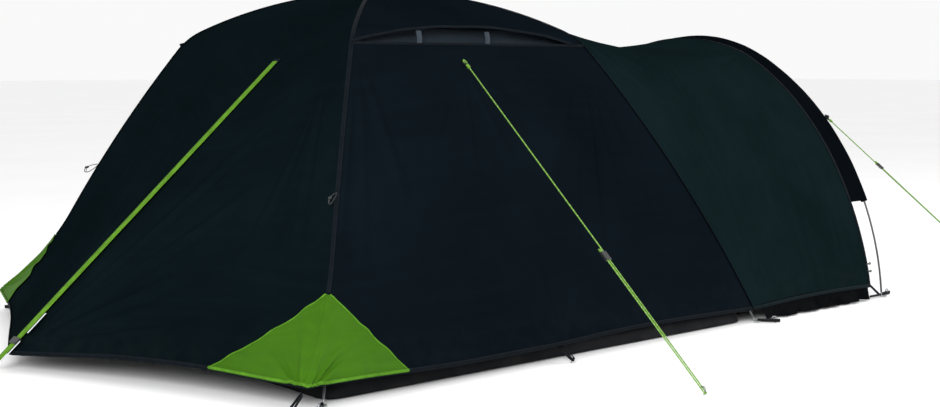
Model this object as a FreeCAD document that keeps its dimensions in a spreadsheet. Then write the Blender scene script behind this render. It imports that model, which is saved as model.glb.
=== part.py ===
"""Cross-pole dome tent with a one-hoop tunnel porch, modelled in millimetres.

Frame: +X runs from the rear of the tent to the porch, +Y to the tent's left, +Z up.  The origin lies on
the ground under the crossing of the two dome poles.  The fly is modelled as separate sewn panels, the
poles as hollow rods with ferrules and a shock cord, and every small fitting as a solid of its own.
"""
import FreeCAD, Part
import Sketcher
import math
import os

Vec = FreeCAD.Vector
UP = Vec(0, 0, 1)
LEFT = Vec(0, 1, 0)
FORWARD = Vec(1, 0, 0)

doc = FreeCAD.newDocument("tunnel_tent")
sheet = doc.addObject("Spreadsheet::Sheet", "Sizes")

DRIVING = [
    # the dome
    ("dome_length", 2100, "pole foot to pole foot, rear to front"),
    ("dome_width", 2200, "pole foot to pole foot, side to side"),
    ("crossing_height", 1307, "mean height of the pole centrelines where they cross"),
    ("crown_angle", 24.3, "tangent angle at the end of the crown arc, degrees"),
    ("shoulder_angle", 50.4, "tangent angle at the end of the shoulder arc, degrees"),
    ("foot_angle", 63.9, "tangent angle at the pole foot, degrees"),
    ("shoulder_radius", 262, "radius of the shoulder arc"),
    # the poles
    ("pole_radius", 4.25, "fibreglass rod, outside"),
    ("pole_bore", 2.8, "fibreglass rod, bore radius"),
    ("ferrule_radius", 5.7, "steel ferrule, outside"),
    ("ferrule_length", 60, "steel ferrule"),
    ("cord_radius", 1.3, "elastic shock cord"),
    ("pole_foot_gap", 20, "from the ground to the end of the rod, along the rod"),
    ("pole_stack", 4.9, "each pole's centre above or below the mean at the crossing"),
    # the porch
    ("hoop_x", 1970, "plane of the porch hoop"),
    ("hoop_half_width", 1088, "porch hoop foot from the middle"),
    ("hoop_height", 1162, "top of the hoop's centreline"),
    ("hoop_crown_radius", 845, "radius of the hoop's crown arc"),
    ("hoop_crown_angle", 28.2, "tangent angle where the hoop's leg arc starts, degrees"),
    ("tunnel_start", 1104, "rear edge of the porch tunnel panel"),
    ("tunnel_end", 1850, "front edge of the porch tunnel panel"),
    ("rear_sag", 40, "how far the tunnel's roof hangs below the hoop at its rear edge"),
    ("roof_sag", 52, "how far the tunnel's roof hangs below the hoop half way along"),
    ("tunnel_clear", 14, "hoop centreline to the inside of the tunnel"),
    ("bare_leg", 425, "height of the bare lower end of the hoop"),
    # the fabric
    ("fly_offset", 18, "mean pole centreline to the outside of the fly"),
    ("cloth", 2.5, "modelled thickness of fly fabric"),
    ("seam_gap", 4, "modelled clearance at a seam"),
    ("hem_height", 65, "fly hem above the ground"),
    ("flare_height", 420, "height where the rear corners start to flare out"),
    ("flare_x", 112, "rear hem corner pulled out, rearward"),
    ("flare_y", 62, "rear hem corner pulled out, sideways"),
    ("vent_low", 1104, "top edge of a side panel"),
    ("rear_point_x", 1581, "rear hem point behind the crossing"),
    ("rear_point_z", 61, "rear hem point above the ground"),
    ("strap_top_x", 494, "top end of the rear strap behind the crossing"),
    ("strap_top_z", 1038, "top end of the rear strap above the ground"),
    ("patch_side", 370, "corner patch along the hem"),
    ("patch_top", 350, "top of the corner patch above the ground"),
    # the inner tent
    ("inner_offset", 46, "mean pole centreline to the outside of the inner tent"),
    ("tub_height", 90, "wall of the groundsheet tub"),
    ("tub_inset", 32, "tub edge inside the pole feet"),
    ("sheet_thick", 2, "groundsheet"),
    ("inner_door_width", 1000, "inner door"),
    ("inner_door_low", 125, "sill of the inner door"),
    ("inner_door_top", 905, "top of the inner door"),
    # the front
    ("front_door_width", 860, "front door"),
    ("front_door_low", 80, "sill of the front door"),
    ("front_door_top", 935, "top of the front door"),
    ("door_corner", 260, "radius of the door's top corners"),
    ("door_gap", 7, "zip gap round a door"),
    # the vent
    ("hood_half_length", 450, "vent hood from its middle to its end"),
    ("hood_x", -60, "middle of the vent hood"),
    ("hood_reach", 52, "how far the hood stands out in the middle"),
    ("prop_length", 43, "vent prop"),
    ("prop_width", 24, "vent prop"),
    ("vent_x", -110, "middle of the pair of vent props, and the side guy's tab"),
    ("prop_spread", 163, "vent prop from the middle of the pair"),
    # pegs, guys and fittings
    ("peg_radius", 2.5, "peg shaft, the driven part"),
    ("peg_driven", 160, "peg shaft, the driven part"),
    ("peg_neck", 20, "drawn-down neck between the driven part and the hook"),
    ("peg_neck_radius", 2.2, "peg neck and hook wire"),
    ("peg_hook", 9, "radius of the peg's hook"),
    ("peg_tip", 8, "pointed end of a peg"),
    ("guy_radius", 1.6, "guy cord"),
    ("guy_spread", 5, "half the distance between the two runs of a guy cord"),
    ("slider_length", 36, "guy slider"),
    ("slider_width", 24, "guy slider"),
    ("slider_depth", 9, "guy slider"),
    ("slider_bore", 2.2, "guy slider channel radius"),
    ("web_width", 20, "webbing"),
    ("strap_width", 36, "rear strap's webbing"),
    ("web_thick", 1.8, "webbing"),
    ("ring_radius", 11, "corner ring"),
    ("ring_wire", 2, "corner ring wire radius"),
    ("pin_radius", 2.2, "corner pin"),
    ("pin_length", 34, "corner pin"),
    ("clip_width", 12, "pole clip along the pole"),
]

for row, (alias, value, note) in enumerate(DRIVING, start=1):
    sheet.set(f"A{row}", note)
    sheet.set(f"B{row}", str(value))
    sheet.setAlias(f"B{row}", alias)
doc.recompute()


def size(alias):
    return float(sheet.get(alias))


HALF_LENGTH = size("dome_length") / 2
HALF_WIDTH = size("dome_width") / 2
HALF_DIAGONAL = math.hypot(HALF_LENGTH, HALF_WIDTH)
CLOTH = size("cloth")
HEM = size("hem_height")


# ---------------------------------------------------------------- arches of tangent arcs

class Arch:
    """Half an arch, from its top at angle 0 to its foot, as arcs that run into each other.

    Each arc is (centre distance, centre height, radius, start angle, end angle), with the angle measured
    from the horizontal tangent at the top.  The other half is its mirror image.
    """

    def __init__(self, height, arcs):
        self.arcs = []
        centre = (0.0, height - arcs[0][0])
        start = 0.0
        previous = arcs[0][0]
        for radius, end in arcs:
            step = previous - radius
            centre = (centre[0] + step * math.sin(start), centre[1] + step * math.cos(start))
            self.arcs.append((centre[0], centre[1], radius, start, end))
            previous = radius
            start = end
        self.foot_angle = start
        self.half_length = sum(arc[2] * (arc[4] - arc[3]) for arc in self.arcs)

    def at_angle(self, angle, offset=0.0):
        """(distance from the middle, height) where the tangent has this angle."""
        for arc in self.arcs:
            if angle <= arc[4] + 1e-12 or arc is self.arcs[-1]:
                reach = arc[2] + offset
                return arc[0] + reach * math.sin(angle), arc[1] + reach * math.cos(angle)

    def angle_at_height(self, height, offset=0.0):
        for arc in self.arcs:
            low = arc[1] + (arc[2] + offset) * math.cos(arc[4])
            if height >= low or arc is self.arcs[-1]:
                ratio = (height - arc[1]) / (arc[2] + offset)
                return math.acos(max(-1.0, min(1.0, ratio)))

    def at_height(self, height, offset=0.0):
        """Distance from the middle at this height."""
        return self.at_angle(self.angle_at_height(height, offset), offset)[0]

    def angle_at_length(self, length):
        """Signed tangent angle at a signed length along the arch from its top."""
        left = abs(length)
        for arc in self.arcs:
            run = arc[2] * (arc[4] - arc[3])
            if left <= run + 1e-9 or arc is self.arcs[-1]:
                return math.copysign(arc[3] + left / arc[2], length)
            left -= run

    def breaks(self):
        """Signed lengths where one arc gives way to the next."""
        marks = []
        run = 0.0
        for arc in self.arcs[:-1]:
            run += arc[2] * (arc[4] - arc[3])
            marks += [-run, run]
        return sorted(marks)


def dome_arch(height):
    """A dome pole: crown, shoulder and leg arcs that meet the foot at half a diagonal."""
    crown, shoulder, foot = (math.radians(size(k)) for k in ("crown_angle", "shoulder_angle", "foot_angle"))
    bend = size("shoulder_radius")
    sin = math.sin
    cos = math.cos
    across = HALF_DIAGONAL - bend * (sin(shoulder) - sin(crown))
    down = height - bend * (cos(crown) - cos(shoulder))
    a = sin(crown)
    b = sin(foot) - sin(shoulder)
    c = 1 - cos(crown)
    d = cos(shoulder) - cos(foot)
    crown_radius = (across * d - b * down) / (a * d - b * c)
    leg_radius = (a * down - across * c) / (a * d - b * c)
    return Arch(height, [(crown_radius, crown), (bend, shoulder), (leg_radius, foot)])


def hoop_arch(sag=0.0):
    """The porch hoop: a crown arc and a leg arc that stands almost upright at its foot."""
    crown = math.radians(size("hoop_crown_angle"))
    radius = size("hoop_crown_radius")
    height = size("hoop_height") - sag
    across = size("hoop_half_width") - radius * math.sin(crown)
    down = height - radius * (1 - math.cos(crown))
    foot = 2 * math.atan2(down, across) - crown
    leg_radius = across / (math.sin(foot) - math.sin(crown))
    return Arch(height, [(radius, crown), (leg_radius, foot)])


VAULT = dome_arch(size("crossing_height"))
HOOP = hoop_arch()
TUNNEL_REAR = hoop_arch(size("rear_sag"))
TUNNEL_MIDDLE = hoop_arch(size("roof_sag"))


class Pole:
    """An arch stood up in space: origin on the ground under its top, and a level direction."""

    def __init__(self, arch, origin, direction):
        self.arch = arch
        self.origin = origin
        self.direction = direction

    def point(self, length, offset=0.0):
        angle = self.arch.angle_at_length(length)
        distance, height = self.arch.at_angle(abs(angle), offset)
        return self.origin + self.direction * math.copysign(distance, length) + UP * height

    def tangent(self, length):
        angle = self.arch.angle_at_length(length)
        return self.direction * math.cos(angle) - UP * math.sin(angle)

    def wire(self, start, end):
        marks = [start] + [m for m in self.arch.breaks() if start + 1 < m < end - 1] + [end]
        edges = []
        for first, last in zip(marks, marks[1:]):
            middle = (first + last) / 2
            edges.append(Part.Arc(self.point(first), self.point(middle), self.point(last)).toShape())
        return Part.Wire(edges)

    def rod(self, start, end, radius, bore=0.0):
        """A solid or hollow rod along the pole between two lengths."""
        path = self.wire(start, end)

        def sweep(r):
            profile = Part.Wire(Part.makeCircle(r, self.point(start), self.tangent(start)))
            return path.makePipeShell([profile], True, False)

        return sweep(radius).cut(sweep(bore)) if bore else sweep(radius)


DIAGONAL_LEFT = Vec(HALF_LENGTH, HALF_WIDTH, 0).normalize()
DIAGONAL_RIGHT = Vec(HALF_LENGTH, -HALF_WIDTH, 0).normalize()
STACK = size("pole_stack")
POLES = {
    "dome_pole_lower": (Pole(dome_arch(size("crossing_height") - STACK), Vec(0, 0, 0), DIAGONAL_LEFT), 9),
    "dome_pole_upper": (Pole(dome_arch(size("crossing_height") + STACK), Vec(0, 0, 0), DIAGONAL_RIGHT), 9),
    "porch_hoop": (Pole(HOOP, Vec(size("hoop_x"), 0, 0), LEFT), 7),
}


# ---------------------------------------------------------------- document helpers

exported = []


def keep(obj, label):
    """Gives an object the Label that names its file."""
    obj.Label = label
    exported.append(obj)
    return obj


def feature(label, shapes):
    """A part built with Part's own functions: one solid, or several separate ones in one node."""
    obj = doc.addObject("Part::Feature", label)
    obj.Shape = shapes if isinstance(shapes, Part.Shape) else Part.makeCompound(shapes)
    return keep(obj, label)


def body(name):
    return doc.addObject("PartDesign::Body", name)


def sketch(owner, plane, name):
    sk = owner.newObject("Sketcher::SketchObject", name)
    origin_plane = next(f for f in owner.Origin.OriginFeatures if f.Role == plane)
    sk.AttachmentSupport = (origin_plane, [""])
    sk.MapMode = "FlatFace"
    return sk


def add_box(sk, width, height, x=0.0, y=0.0):
    """A centred rectangle whose two sizes are bound to expressions."""
    w = 20.0
    h = 10.0
    corners = [Vec(x - w, y - h, 0), Vec(x + w, y - h, 0), Vec(x + w, y + h, 0), Vec(x - w, y + h, 0)]
    ids = [sk.addGeometry(Part.LineSegment(corners[i], corners[(i + 1) % 4])) for i in range(4)]
    for i in range(4):
        sk.addConstraint(Sketcher.Constraint("Coincident", ids[i], 2, ids[(i + 1) % 4], 1))
    for i in (0, 2):
        sk.addConstraint(Sketcher.Constraint("Horizontal", ids[i]))
        sk.addConstraint(Sketcher.Constraint("Vertical", ids[i + 1]))
    wide = sk.addConstraint(Sketcher.Constraint("DistanceX", ids[0], 1, ids[0], 2, 2 * w))
    tall = sk.addConstraint(Sketcher.Constraint("DistanceY", ids[1], 1, ids[1], 2, 2 * h))
    left = sk.addConstraint(Sketcher.Constraint("DistanceX", -1, 1, ids[0], 1, x - w))
    low = sk.addConstraint(Sketcher.Constraint("DistanceY", -1, 1, ids[0], 1, y - h))
    sk.setExpression(f"Constraints[{wide}]", width)
    sk.setExpression(f"Constraints[{tall}]", height)
    sk.setExpression(f"Constraints[{left}]", f"{x} - ({width}) / 2")
    sk.setExpression(f"Constraints[{low}]", f"{y} - ({height}) / 2")


def add_circle(sk, radius, x=0.0, y=0.0):
    """A circle with its radius bound to an expression."""
    i = sk.addGeometry(Part.Circle(Vec(x, y, 0), Vec(0, 0, 1), 5.0))
    r = sk.addConstraint(Sketcher.Constraint("Radius", i, 5.0))
    sk.addConstraint(Sketcher.Constraint("DistanceX", -1, 1, i, 3, x))
    sk.addConstraint(Sketcher.Constraint("DistanceY", -1, 1, i, 3, y))
    sk.setExpression(f"Constraints[{r}]", radius)


def add_outline(sk, edges):
    """A closed outline of lines and arcs, already worked out in the sketch's own plane."""
    for edge in edges:
        sk.addGeometry(edge)


def pad(owner, sk, length, both_ways=False):
    feat = owner.newObject("PartDesign::Pad", "Pad")
    feat.Profile = sk
    feat.setExpression("Length", length)
    feat.Midplane = both_ways
    return feat


def bound(kind, name, **expressions):
    """A Part primitive whose properties are bound to expressions."""
    obj = doc.addObject(kind, name)
    for prop, expression in expressions.items():
        obj.setExpression(prop, expression)
    return obj


def fused(name, members):
    obj = doc.addObject("Part::MultiFuse", name)
    obj.Shapes = members
    return obj


def frame_at(origin, x_axis, z_axis):
    """A placement at origin with its own Z along z_axis and its own X as near x_axis as it can be."""
    z = Vec(z_axis).normalize()
    y = z.cross(Vec(x_axis)).normalize()
    x = y.cross(z)
    return FreeCAD.Placement(origin, FreeCAD.Rotation(x, y, z, "ZXY"))


def copies(label, master, placements, others=()):
    """Links to one master shape, gathered in a compound with any other objects as separate solids."""
    links = []
    for i, placement in enumerate(placements):
        link = doc.addObject("App::Link", f"{label}_{i + 1}")
        link.LinkedObject = master
        link.LinkTransform = False
        link.Placement = placement
        links.append(link)
    group = doc.addObject("Part::Compound", label)
    group.Links = links + list(others)
    return keep(group, label)


def on_side(point, side):
    """The point itself (side 1), or its mirror image across the tent's middle (side -1)."""
    return Vec(point.x, side * point.y, point.z)


# ---------------------------------------------------------------- poles

ROD_END_GAP = 0.4
FERRULE_SLIP = 0.6
CORD_SHORT = 6


def build_pole(name, pole, sections):
    """Writes the rods, in equal sections; gives the ferrules over their joints and the cord inside."""
    rim = size("pole_foot_gap")
    end = pole.arch.half_length - rim
    run = 2 * end / sections
    joints = [-end + run * i for i in range(1, sections)]
    ends = [-end] + joints + [end]
    rods = []
    for i in range(sections):
        start = ends[i] + (ROD_END_GAP if i else 0)
        stop = ends[i + 1] - (ROD_END_GAP if i < sections - 1 else 0)
        rods.append(pole.rod(start, stop, size("pole_radius"), size("pole_bore")))
    feature(name + "_rods", rods)
    half = size("ferrule_length") / 2
    slip = size("pole_radius") + FERRULE_SLIP
    ferrules = [pole.rod(j - half, j + half, size("ferrule_radius"), slip) for j in joints]
    cord_end = end - size("pin_length") - CORD_SHORT
    return ferrules, [pole.rod(-cord_end, cord_end, size("cord_radius"))]


lower_ferrules, lower_cord = build_pole("dome_pole_lower", *POLES["dome_pole_lower"])
upper_ferrules, upper_cord = build_pole("dome_pole_upper", *POLES["dome_pole_upper"])
feature("dome_pole_ferrules", lower_ferrules + upper_ferrules)
feature("dome_pole_shock_cords", lower_cord + upper_cord)
hoop_ferrules, hoop_cord = build_pole("porch_hoop", *POLES["porch_hoop"])
feature("porch_hoop_ferrules", hoop_ferrules)
feature("porch_hoop_shock_cord", hoop_cord)


# ---------------------------------------------------------------- fabric panels

def cloth_loft(sections, thickness=CLOTH):
    """A sheet through straight edges p-q, thickened by a vector n that both ends of an edge share."""
    wires = []
    for p, q, n in sections:
        n = n * thickness
        wires.append(Part.makePolygon([p, q, q + n, p + n, p]))
    solid = Part.makeLoft(wires, True, False)
    return solid if solid.Volume > 0 else solid.reversed()


def cloth_sections(edge_pairs, inside):
    """Adds to each edge pair the sheet's own normal, turned towards the point inside."""
    out = []
    for i, (p, q) in enumerate(edge_pairs):
        before = edge_pairs[max(i - 1, 0)]
        after = edge_pairs[min(i + 1, len(edge_pairs) - 1)]
        rise = (after[0] + after[1]) - (before[0] + before[1])
        normal = (q - p).cross(rise).normalize()
        if normal.dot(inside - p) < 0:
            normal = normal * -1
        out.append((p, q, normal))
    return out


def steps(first, last, count):
    return [first + (last - first) * i / (count - 1) for i in range(count)]


INSIDE = Vec(0, 0, 500)
CROWN_STOP = math.radians(4.7)
CROWN_MEET = math.radians(0.6)
FLY = size("fly_offset")
SIDE_X = HALF_LENGTH / HALF_DIAGONAL
SIDE_Y = HALF_WIDTH / HALF_DIAGONAL


def fly_corner(height, front, side):
    """A point on the fly's corner ridge; front and side are +1 or -1."""
    distance = VAULT.at_height(height, FLY)
    point = Vec(front * SIDE_X * distance, side * SIDE_Y * distance, height)
    top = size("flare_height")
    if front < 0 and height < top:
        share = ((top - height) / (top - HEM)) ** 2
        point = point + Vec(-size("flare_x"), side * size("flare_y"), 0) * share
    return point


def shifted(p, q, start_gap, end_gap):
    """The edge p-q, drawn in at both ends."""
    along = (q - p).normalize()
    return p + along * start_gap, q - along * end_gap


WALL_STEPS = 9


def side_panel(side):
    """The side of the dome below the vent, from the rear pole to the front pole."""
    pairs = []
    for height in steps(HEM, size("vent_low"), WALL_STEPS):
        pairs.append(shifted(fly_corner(height, -1, side), fly_corner(height, 1, side),
                             size("seam_gap"), size("seam_gap")))
    return cloth_loft(cloth_sections(pairs, INSIDE))


def rear_ridge(height):
    """The fly's rear ridge: straight under the strap, then a parabola up to the crossing."""
    top_x = size("strap_top_x")
    top_z = size("strap_top_z")
    slope = (top_z - size("rear_point_z")) / (size("rear_point_x") - top_x)
    if height <= top_z:
        return Vec(-(top_x + (top_z - height) / slope), 0, height)
    drop = size("crossing_height") + FLY - top_z
    bend = (slope * top_x - drop) / top_x ** 2
    lean = slope - 2 * bend * top_x
    fall = size("crossing_height") + FLY - height
    return Vec(-(math.sqrt(lean ** 2 + 4 * bend * fall) - lean) / (2 * bend), 0, height)


REAR_WALL_STEPS = 13
REAR_ROOF_STEPS = 7
CROWN_STEPS = 8


def rear_heights():
    """Heights up the rear: even steps to the crown's edge, then even turns of the vault, which flattens."""
    crown = math.radians(size("crown_angle"))
    walls = steps(HEM, VAULT.at_angle(crown, FLY)[1], REAR_WALL_STEPS)
    roof = [VAULT.at_angle(angle, FLY)[1] for angle in steps(crown, CROWN_STOP, REAR_ROOF_STEPS)]
    return walls + roof[1:]


def rear_panel(side):
    """Half the rear of the dome, from a rear pole to the ridge in the middle."""
    pairs = []
    for height in rear_heights():
        pairs.append(shifted(fly_corner(height, -1, side), rear_ridge(height),
                             size("seam_gap"), size("seam_gap") / 2))
    return cloth_loft(cloth_sections(pairs, INSIDE))


def crown_panel(direction):
    """The upper face of the vault on one side, from the crossing down to the end of the crown arc."""
    pairs = []
    across = UP.cross(direction)
    crown = math.radians(size("crown_angle"))
    for angle in steps(crown, CROWN_MEET, CROWN_STEPS):
        distance, height = VAULT.at_angle(angle, FLY)
        out = distance * (SIDE_X if abs(direction.x) > 0.5 else SIDE_Y)
        wide = distance * (SIDE_Y if abs(direction.x) > 0.5 else SIDE_X)
        middle = direction * out + UP * height
        pairs.append(shifted(middle - across * wide, middle + across * wide,
                             size("seam_gap"), size("seam_gap")))
    return cloth_loft(cloth_sections(pairs, INSIDE))


feature("fly_side_panel_right", side_panel(-1))
feature("fly_side_panel_left", side_panel(1))
feature("fly_rear_panel_right", rear_panel(-1))
feature("fly_rear_panel_left", rear_panel(1))
feature("fly_crown_right", crown_panel(LEFT * -1))
feature("fly_crown_left", crown_panel(LEFT))
feature("fly_crown_front", crown_panel(FORWARD))


# The saddle's dome edge climbs the pole for this share of its run, then crosses under the crown panel.
POLE_SHARE = 0.72
POLE_EASE = 0.9
SADDLE_STEPS = 9
SADDLE_GAP = 7
SADDLE_HEART = Vec(900, 0, 400)


def tunnel_point(angle, side, x, offset):
    distance, height = TUNNEL_REAR.at_angle(angle, offset)
    return Vec(x, side * distance, height)


def porch_saddle():
    """The sheet that joins the dome's front poles to the tunnel, from one foot over to the other."""
    outside = size("tunnel_clear") + CLOTH
    x_end = size("tunnel_start") - 3
    foot = TUNNEL_REAR.angle_at_height(HEM, outside)
    crown_low = VAULT.at_angle(math.radians(size("crown_angle")), FLY)
    right = []
    for share in steps(0.0, 1.0, SADDLE_STEPS):
        front = tunnel_point(foot * (1 - share), -1, x_end, outside)
        if share <= POLE_SHARE:
            height = HEM + (crown_low[1] - HEM) * (share / POLE_SHARE) ** POLE_EASE
            back = fly_corner(height, 1, -1)
        else:
            part = (share - POLE_SHARE) / (1 - POLE_SHARE)
            back = Vec(SIDE_X * crown_low[0], -SIDE_Y * crown_low[0] * (1 - part), crown_low[1])
        back, front = shifted(back, front, SADDLE_GAP, 0)
        right.append((back, front))
    pairs = right + [(on_side(p, -1), on_side(q, -1)) for p, q in reversed(right[:-1])]
    return cloth_loft(cloth_sections(pairs, SADDLE_HEART))


feature("porch_saddle", porch_saddle())


def arch_edges(arch, low, inner, outer):
    """A closed band between two offsets of an arch, on the YZ plane: first along the outside, then back."""
    crown = math.radians(size("hoop_crown_angle"))

    def half_arcs(offset):
        foot = arch.angle_at_height(low, offset)
        middle = (foot + crown) / 2

        def at(angle, side):
            distance, height = arch.at_angle(angle, offset)
            return Vec(side * distance, height, 0)

        return [
            Part.Arc(at(foot, -1), at(middle, -1), at(crown, -1)),
            Part.Arc(at(crown, -1), at(0, 1), at(crown, 1)),
            Part.Arc(at(crown, 1), at(middle, 1), at(foot, 1)),
        ], at(foot, -1), at(foot, 1)

    outer_arcs, outer_right, outer_left = half_arcs(outer)
    inner_arcs, inner_right, inner_left = half_arcs(inner)
    return (outer_arcs + [Part.LineSegment(outer_left, inner_left)] + inner_arcs[::-1]
            + [Part.LineSegment(inner_right, outer_right)])


def porch_tunnel():
    """The tunnel's roof and walls, through three arches: the roof sags behind the hoop."""
    skin = size("tunnel_clear")
    start = size("tunnel_start")
    end = size("tunnel_end")
    wires = []
    for arch, x in ((TUNNEL_REAR, start), (TUNNEL_MIDDLE, (start + end) / 2), (HOOP, end)):
        edges = arch_edges(arch, HEM, skin, skin + CLOTH)
        wire = Part.Wire(Part.__sortEdges__([e.toShape() for e in edges]))
        wire.Placement = FreeCAD.Placement(Vec(x, 0, 0), FreeCAD.Rotation(LEFT, UP, FORWARD, "ZXY"))
        wires.append(wire)
    solid = Part.makeLoft(wires, True, False)
    return solid if solid.Volume > 0 else solid.reversed()


feature("porch_tunnel", porch_tunnel())
INNER_SKIN = size("tunnel_clear")
# The front band and the sleeve lie just inside the line of the tunnel's front edge.
BAND_OUT = INNER_SKIN - 3
BAND_THICK = 1.8
BAND_GAP = 12
BAND_PAST_POLE = 4
SLEEVE_WALL = 1.0
SLEEVE_SLIP = 1.4
SLEEVE_SHORT = 1.01
band = body("porch_front_band")
band_sketch = sketch(band, "YZ_Plane", "band_section")
add_outline(band_sketch, arch_edges(HOOP, size("bare_leg"), BAND_OUT - BAND_THICK, BAND_OUT))
pad(band, band_sketch,
    f"Sizes.hoop_x - Sizes.tunnel_end - {BAND_GAP} + Sizes.pole_radius + {BAND_PAST_POLE}")
band.setExpression(".Placement.Base.x", f"Sizes.tunnel_end + {BAND_GAP}")
keep(band, "porch_front_band")

hoop_pole = POLES["porch_hoop"][0]
sleeve_end = HOOP.half_length - size("bare_leg") / math.sin(HOOP.foot_angle) * SLEEVE_SHORT
sleeve_bore = size("ferrule_radius") + SLEEVE_SLIP
feature("hoop_sleeve", hoop_pole.rod(-sleeve_end, sleeve_end, sleeve_bore + SLEEVE_WALL, sleeve_bore))


# ---------------------------------------------------------------- vents

CROWN_EDGE = VAULT.at_angle(math.radians(size("crown_angle")), FLY)
HOOD_Y = SIDE_Y * CROWN_EDGE[0] + 3
HOOD_Z = CROWN_EDGE[1]
HOOD_STEPS = 9
HOOD_END_REACH = 10
HOOD_FALL = 4
HOOD_END_FALL = 14


def vent_hood(side):
    """A stiffened brim that stands out from the crown panel's edge and droops towards its ends."""
    sections = []
    half = size("hood_half_length")
    for x in steps(-half, half, HOOD_STEPS):
        share = (x / half) ** 2
        root = Vec(size("hood_x") + x, side * HOOD_Y, HOOD_Z)
        reach = HOOD_END_REACH + (size("hood_reach") - HOOD_END_REACH) * (1 - share)
        edge = root + Vec(0, side * reach, -HOOD_FALL - HOOD_END_FALL * share)
        sections.append((root, edge, Vec(0, 0, -1)))
    return cloth_loft(sections)


MESH_LOW_Y = SIDE_Y * VAULT.at_height(size("vent_low"), FLY)
MESH_BACK = 16
MESH_LOW_GAP = 2
MESH_TOP_GAP = 8
MESH_HALF = 480
MESH_TAPER = 10
THIN_SHEET = 1.5
PROP_LEAN = math.radians(8)
PROP_FOOT_GAP = 4


def vent_mesh(side):
    """A net sheet set back behind the hood, from the side panel's top edge to the crown panel's."""
    pairs = []
    for share in steps(0.0, 1.0, 3):
        y = (MESH_LOW_Y - MESH_BACK) * (1 - share) + (HOOD_Y - MESH_BACK) * share
        z = (size("vent_low") + MESH_LOW_GAP) * (1 - share) + (HOOD_Z - MESH_TOP_GAP) * share
        half = MESH_HALF - MESH_TAPER * share
        pairs.append((Vec(-half, side * y, z), Vec(half, side * y, z)))
    return cloth_loft(cloth_sections(pairs, INSIDE), THIN_SHEET)


def prop_frame(side, x):
    """A vent prop stands on the side panel's top edge and leans in a little."""
    lean = Vec(0, -side * math.sin(PROP_LEAN), math.cos(PROP_LEAN))
    foot = Vec(x, side * (MESH_LOW_Y + 1), size("vent_low") + PROP_FOOT_GAP)
    return frame_at(foot, FORWARD, lean)


prop = body("prop_master")
prop_sketch = sketch(prop, "XY_Plane", "prop_section")
add_box(prop_sketch, "Sizes.prop_width", "2")
pad(prop, prop_sketch, "Sizes.prop_length")

for side, word in ((-1, "right"), (1, "left")):
    feature("vent_hood_" + word, vent_hood(side))
    copies("vent_props_" + word, prop, [
        prop_frame(side, size("vent_x") + end * size("prop_spread")) for end in (-1, 1)])
feature("vent_mesh_panels", [vent_mesh(-1), vent_mesh(1)])


# ---------------------------------------------------------------- corner patches, rear strap

PATCH_STEPS = 6
PATCH_TIP = 14
PATCH_LIFT = 4
PATCH_SEAM = 5


def patch_piece(side, towards):
    """One leaf of a corner patch, lying on the side panel (towards 1) or on the rear panel (towards -1)."""
    pairs = []
    top = size("patch_top")
    for height in steps(HEM + 1, top, PATCH_STEPS):
        share = (height - HEM) / (top - HEM)
        corner = fly_corner(height, -1, side)
        other = fly_corner(height, 1, side) if towards > 0 else rear_ridge(height)
        along = (other - corner).normalize()
        reach = size("patch_side") * (1 - share) + PATCH_TIP
        pairs.append((corner + along * PATCH_SEAM, corner + along * reach))
    lifted = []
    for p, q, n in cloth_sections(pairs, INSIDE):
        lifted.append((p - n * PATCH_LIFT, q - n * PATCH_LIFT, n))
    return cloth_loft(lifted, THIN_SHEET)


for side, word in ((-1, "right"), (1, "left")):
    feature("corner_patch_" + word, [patch_piece(side, 1), patch_piece(side, -1)])

strap_top = Vec(-size("strap_top_x"), 0, size("strap_top_z"))
strap_low = Vec(-size("rear_point_x"), 0, size("rear_point_z"))
strap_way = (strap_low - strap_top).normalize()
strap_out = strap_way.cross(LEFT).normalize()
if strap_out.z < 0:
    strap_out = strap_out * -1
REAR_PEG = Vec(-1706, 0, 0)
STRAP_LIFT = 8
STRAP_PAST_END = 40
TAB_LONG = 90
TAB_THICK = 1.2
TAB_SIDE = 31
TAB_STARTS = (52, 178)
BUCKLE_AT = 60
BUCKLE_LONG = 26

strap = body("rear_strap")
strap_sketch = sketch(strap, "XY_Plane", "strap_section")
add_box(strap_sketch, "Sizes.strap_width", "Sizes.web_thick")
pad(strap, strap_sketch, str((strap_low - strap_top).Length + STRAP_PAST_END))
strap.Placement = frame_at(strap_top + strap_out * STRAP_LIFT, LEFT, strap_way)
keep(strap, "rear_strap")

tab = body("reflector_master")
tab_sketch = sketch(tab, "XY_Plane", "reflector_section")
add_box(tab_sketch, "Sizes.web_width * 0.55", str(TAB_THICK))
pad(tab, tab_sketch, str(TAB_LONG))
tab_places = []
for along in TAB_STARTS:
    start = strap_low - strap_way * along + strap_out * STRAP_LIFT - LEFT * TAB_SIDE
    tab_places.append(frame_at(start, LEFT, strap_way))
copies("rear_reflective_tabs", tab, tab_places)

buckle = body("rear_strap_buckle")
buckle_sketch = sketch(buckle, "XY_Plane", "buckle_outline")
add_box(buckle_sketch, "Sizes.strap_width + 12", "Sizes.web_thick + 8")
add_box(buckle_sketch, "Sizes.strap_width + 2", "Sizes.web_thick + 1.6")
pad(buckle, buckle_sketch, str(BUCKLE_LONG))
buckle.Placement = frame_at(strap_low - strap_way * BUCKLE_AT + strap_out * STRAP_LIFT, LEFT, strap_way)
keep(buckle, "rear_strap_buckle")


# ---------------------------------------------------------------- groundsheet and inner tent

def level_box(half_x, half_y, height):
    corners = [Vec(-half_x, -half_y, height), Vec(half_x, -half_y, height),
               Vec(half_x, half_y, height), Vec(-half_x, half_y, height)]
    return Part.makePolygon(corners + corners[:1])


INNER = -size("inner_offset")
WELD = 0.3
INNER_STEPS = 10
INNER_CLEAR = 14
INNER_THICK = 2.0
DOOR_CUT = (200, 1200)


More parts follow.
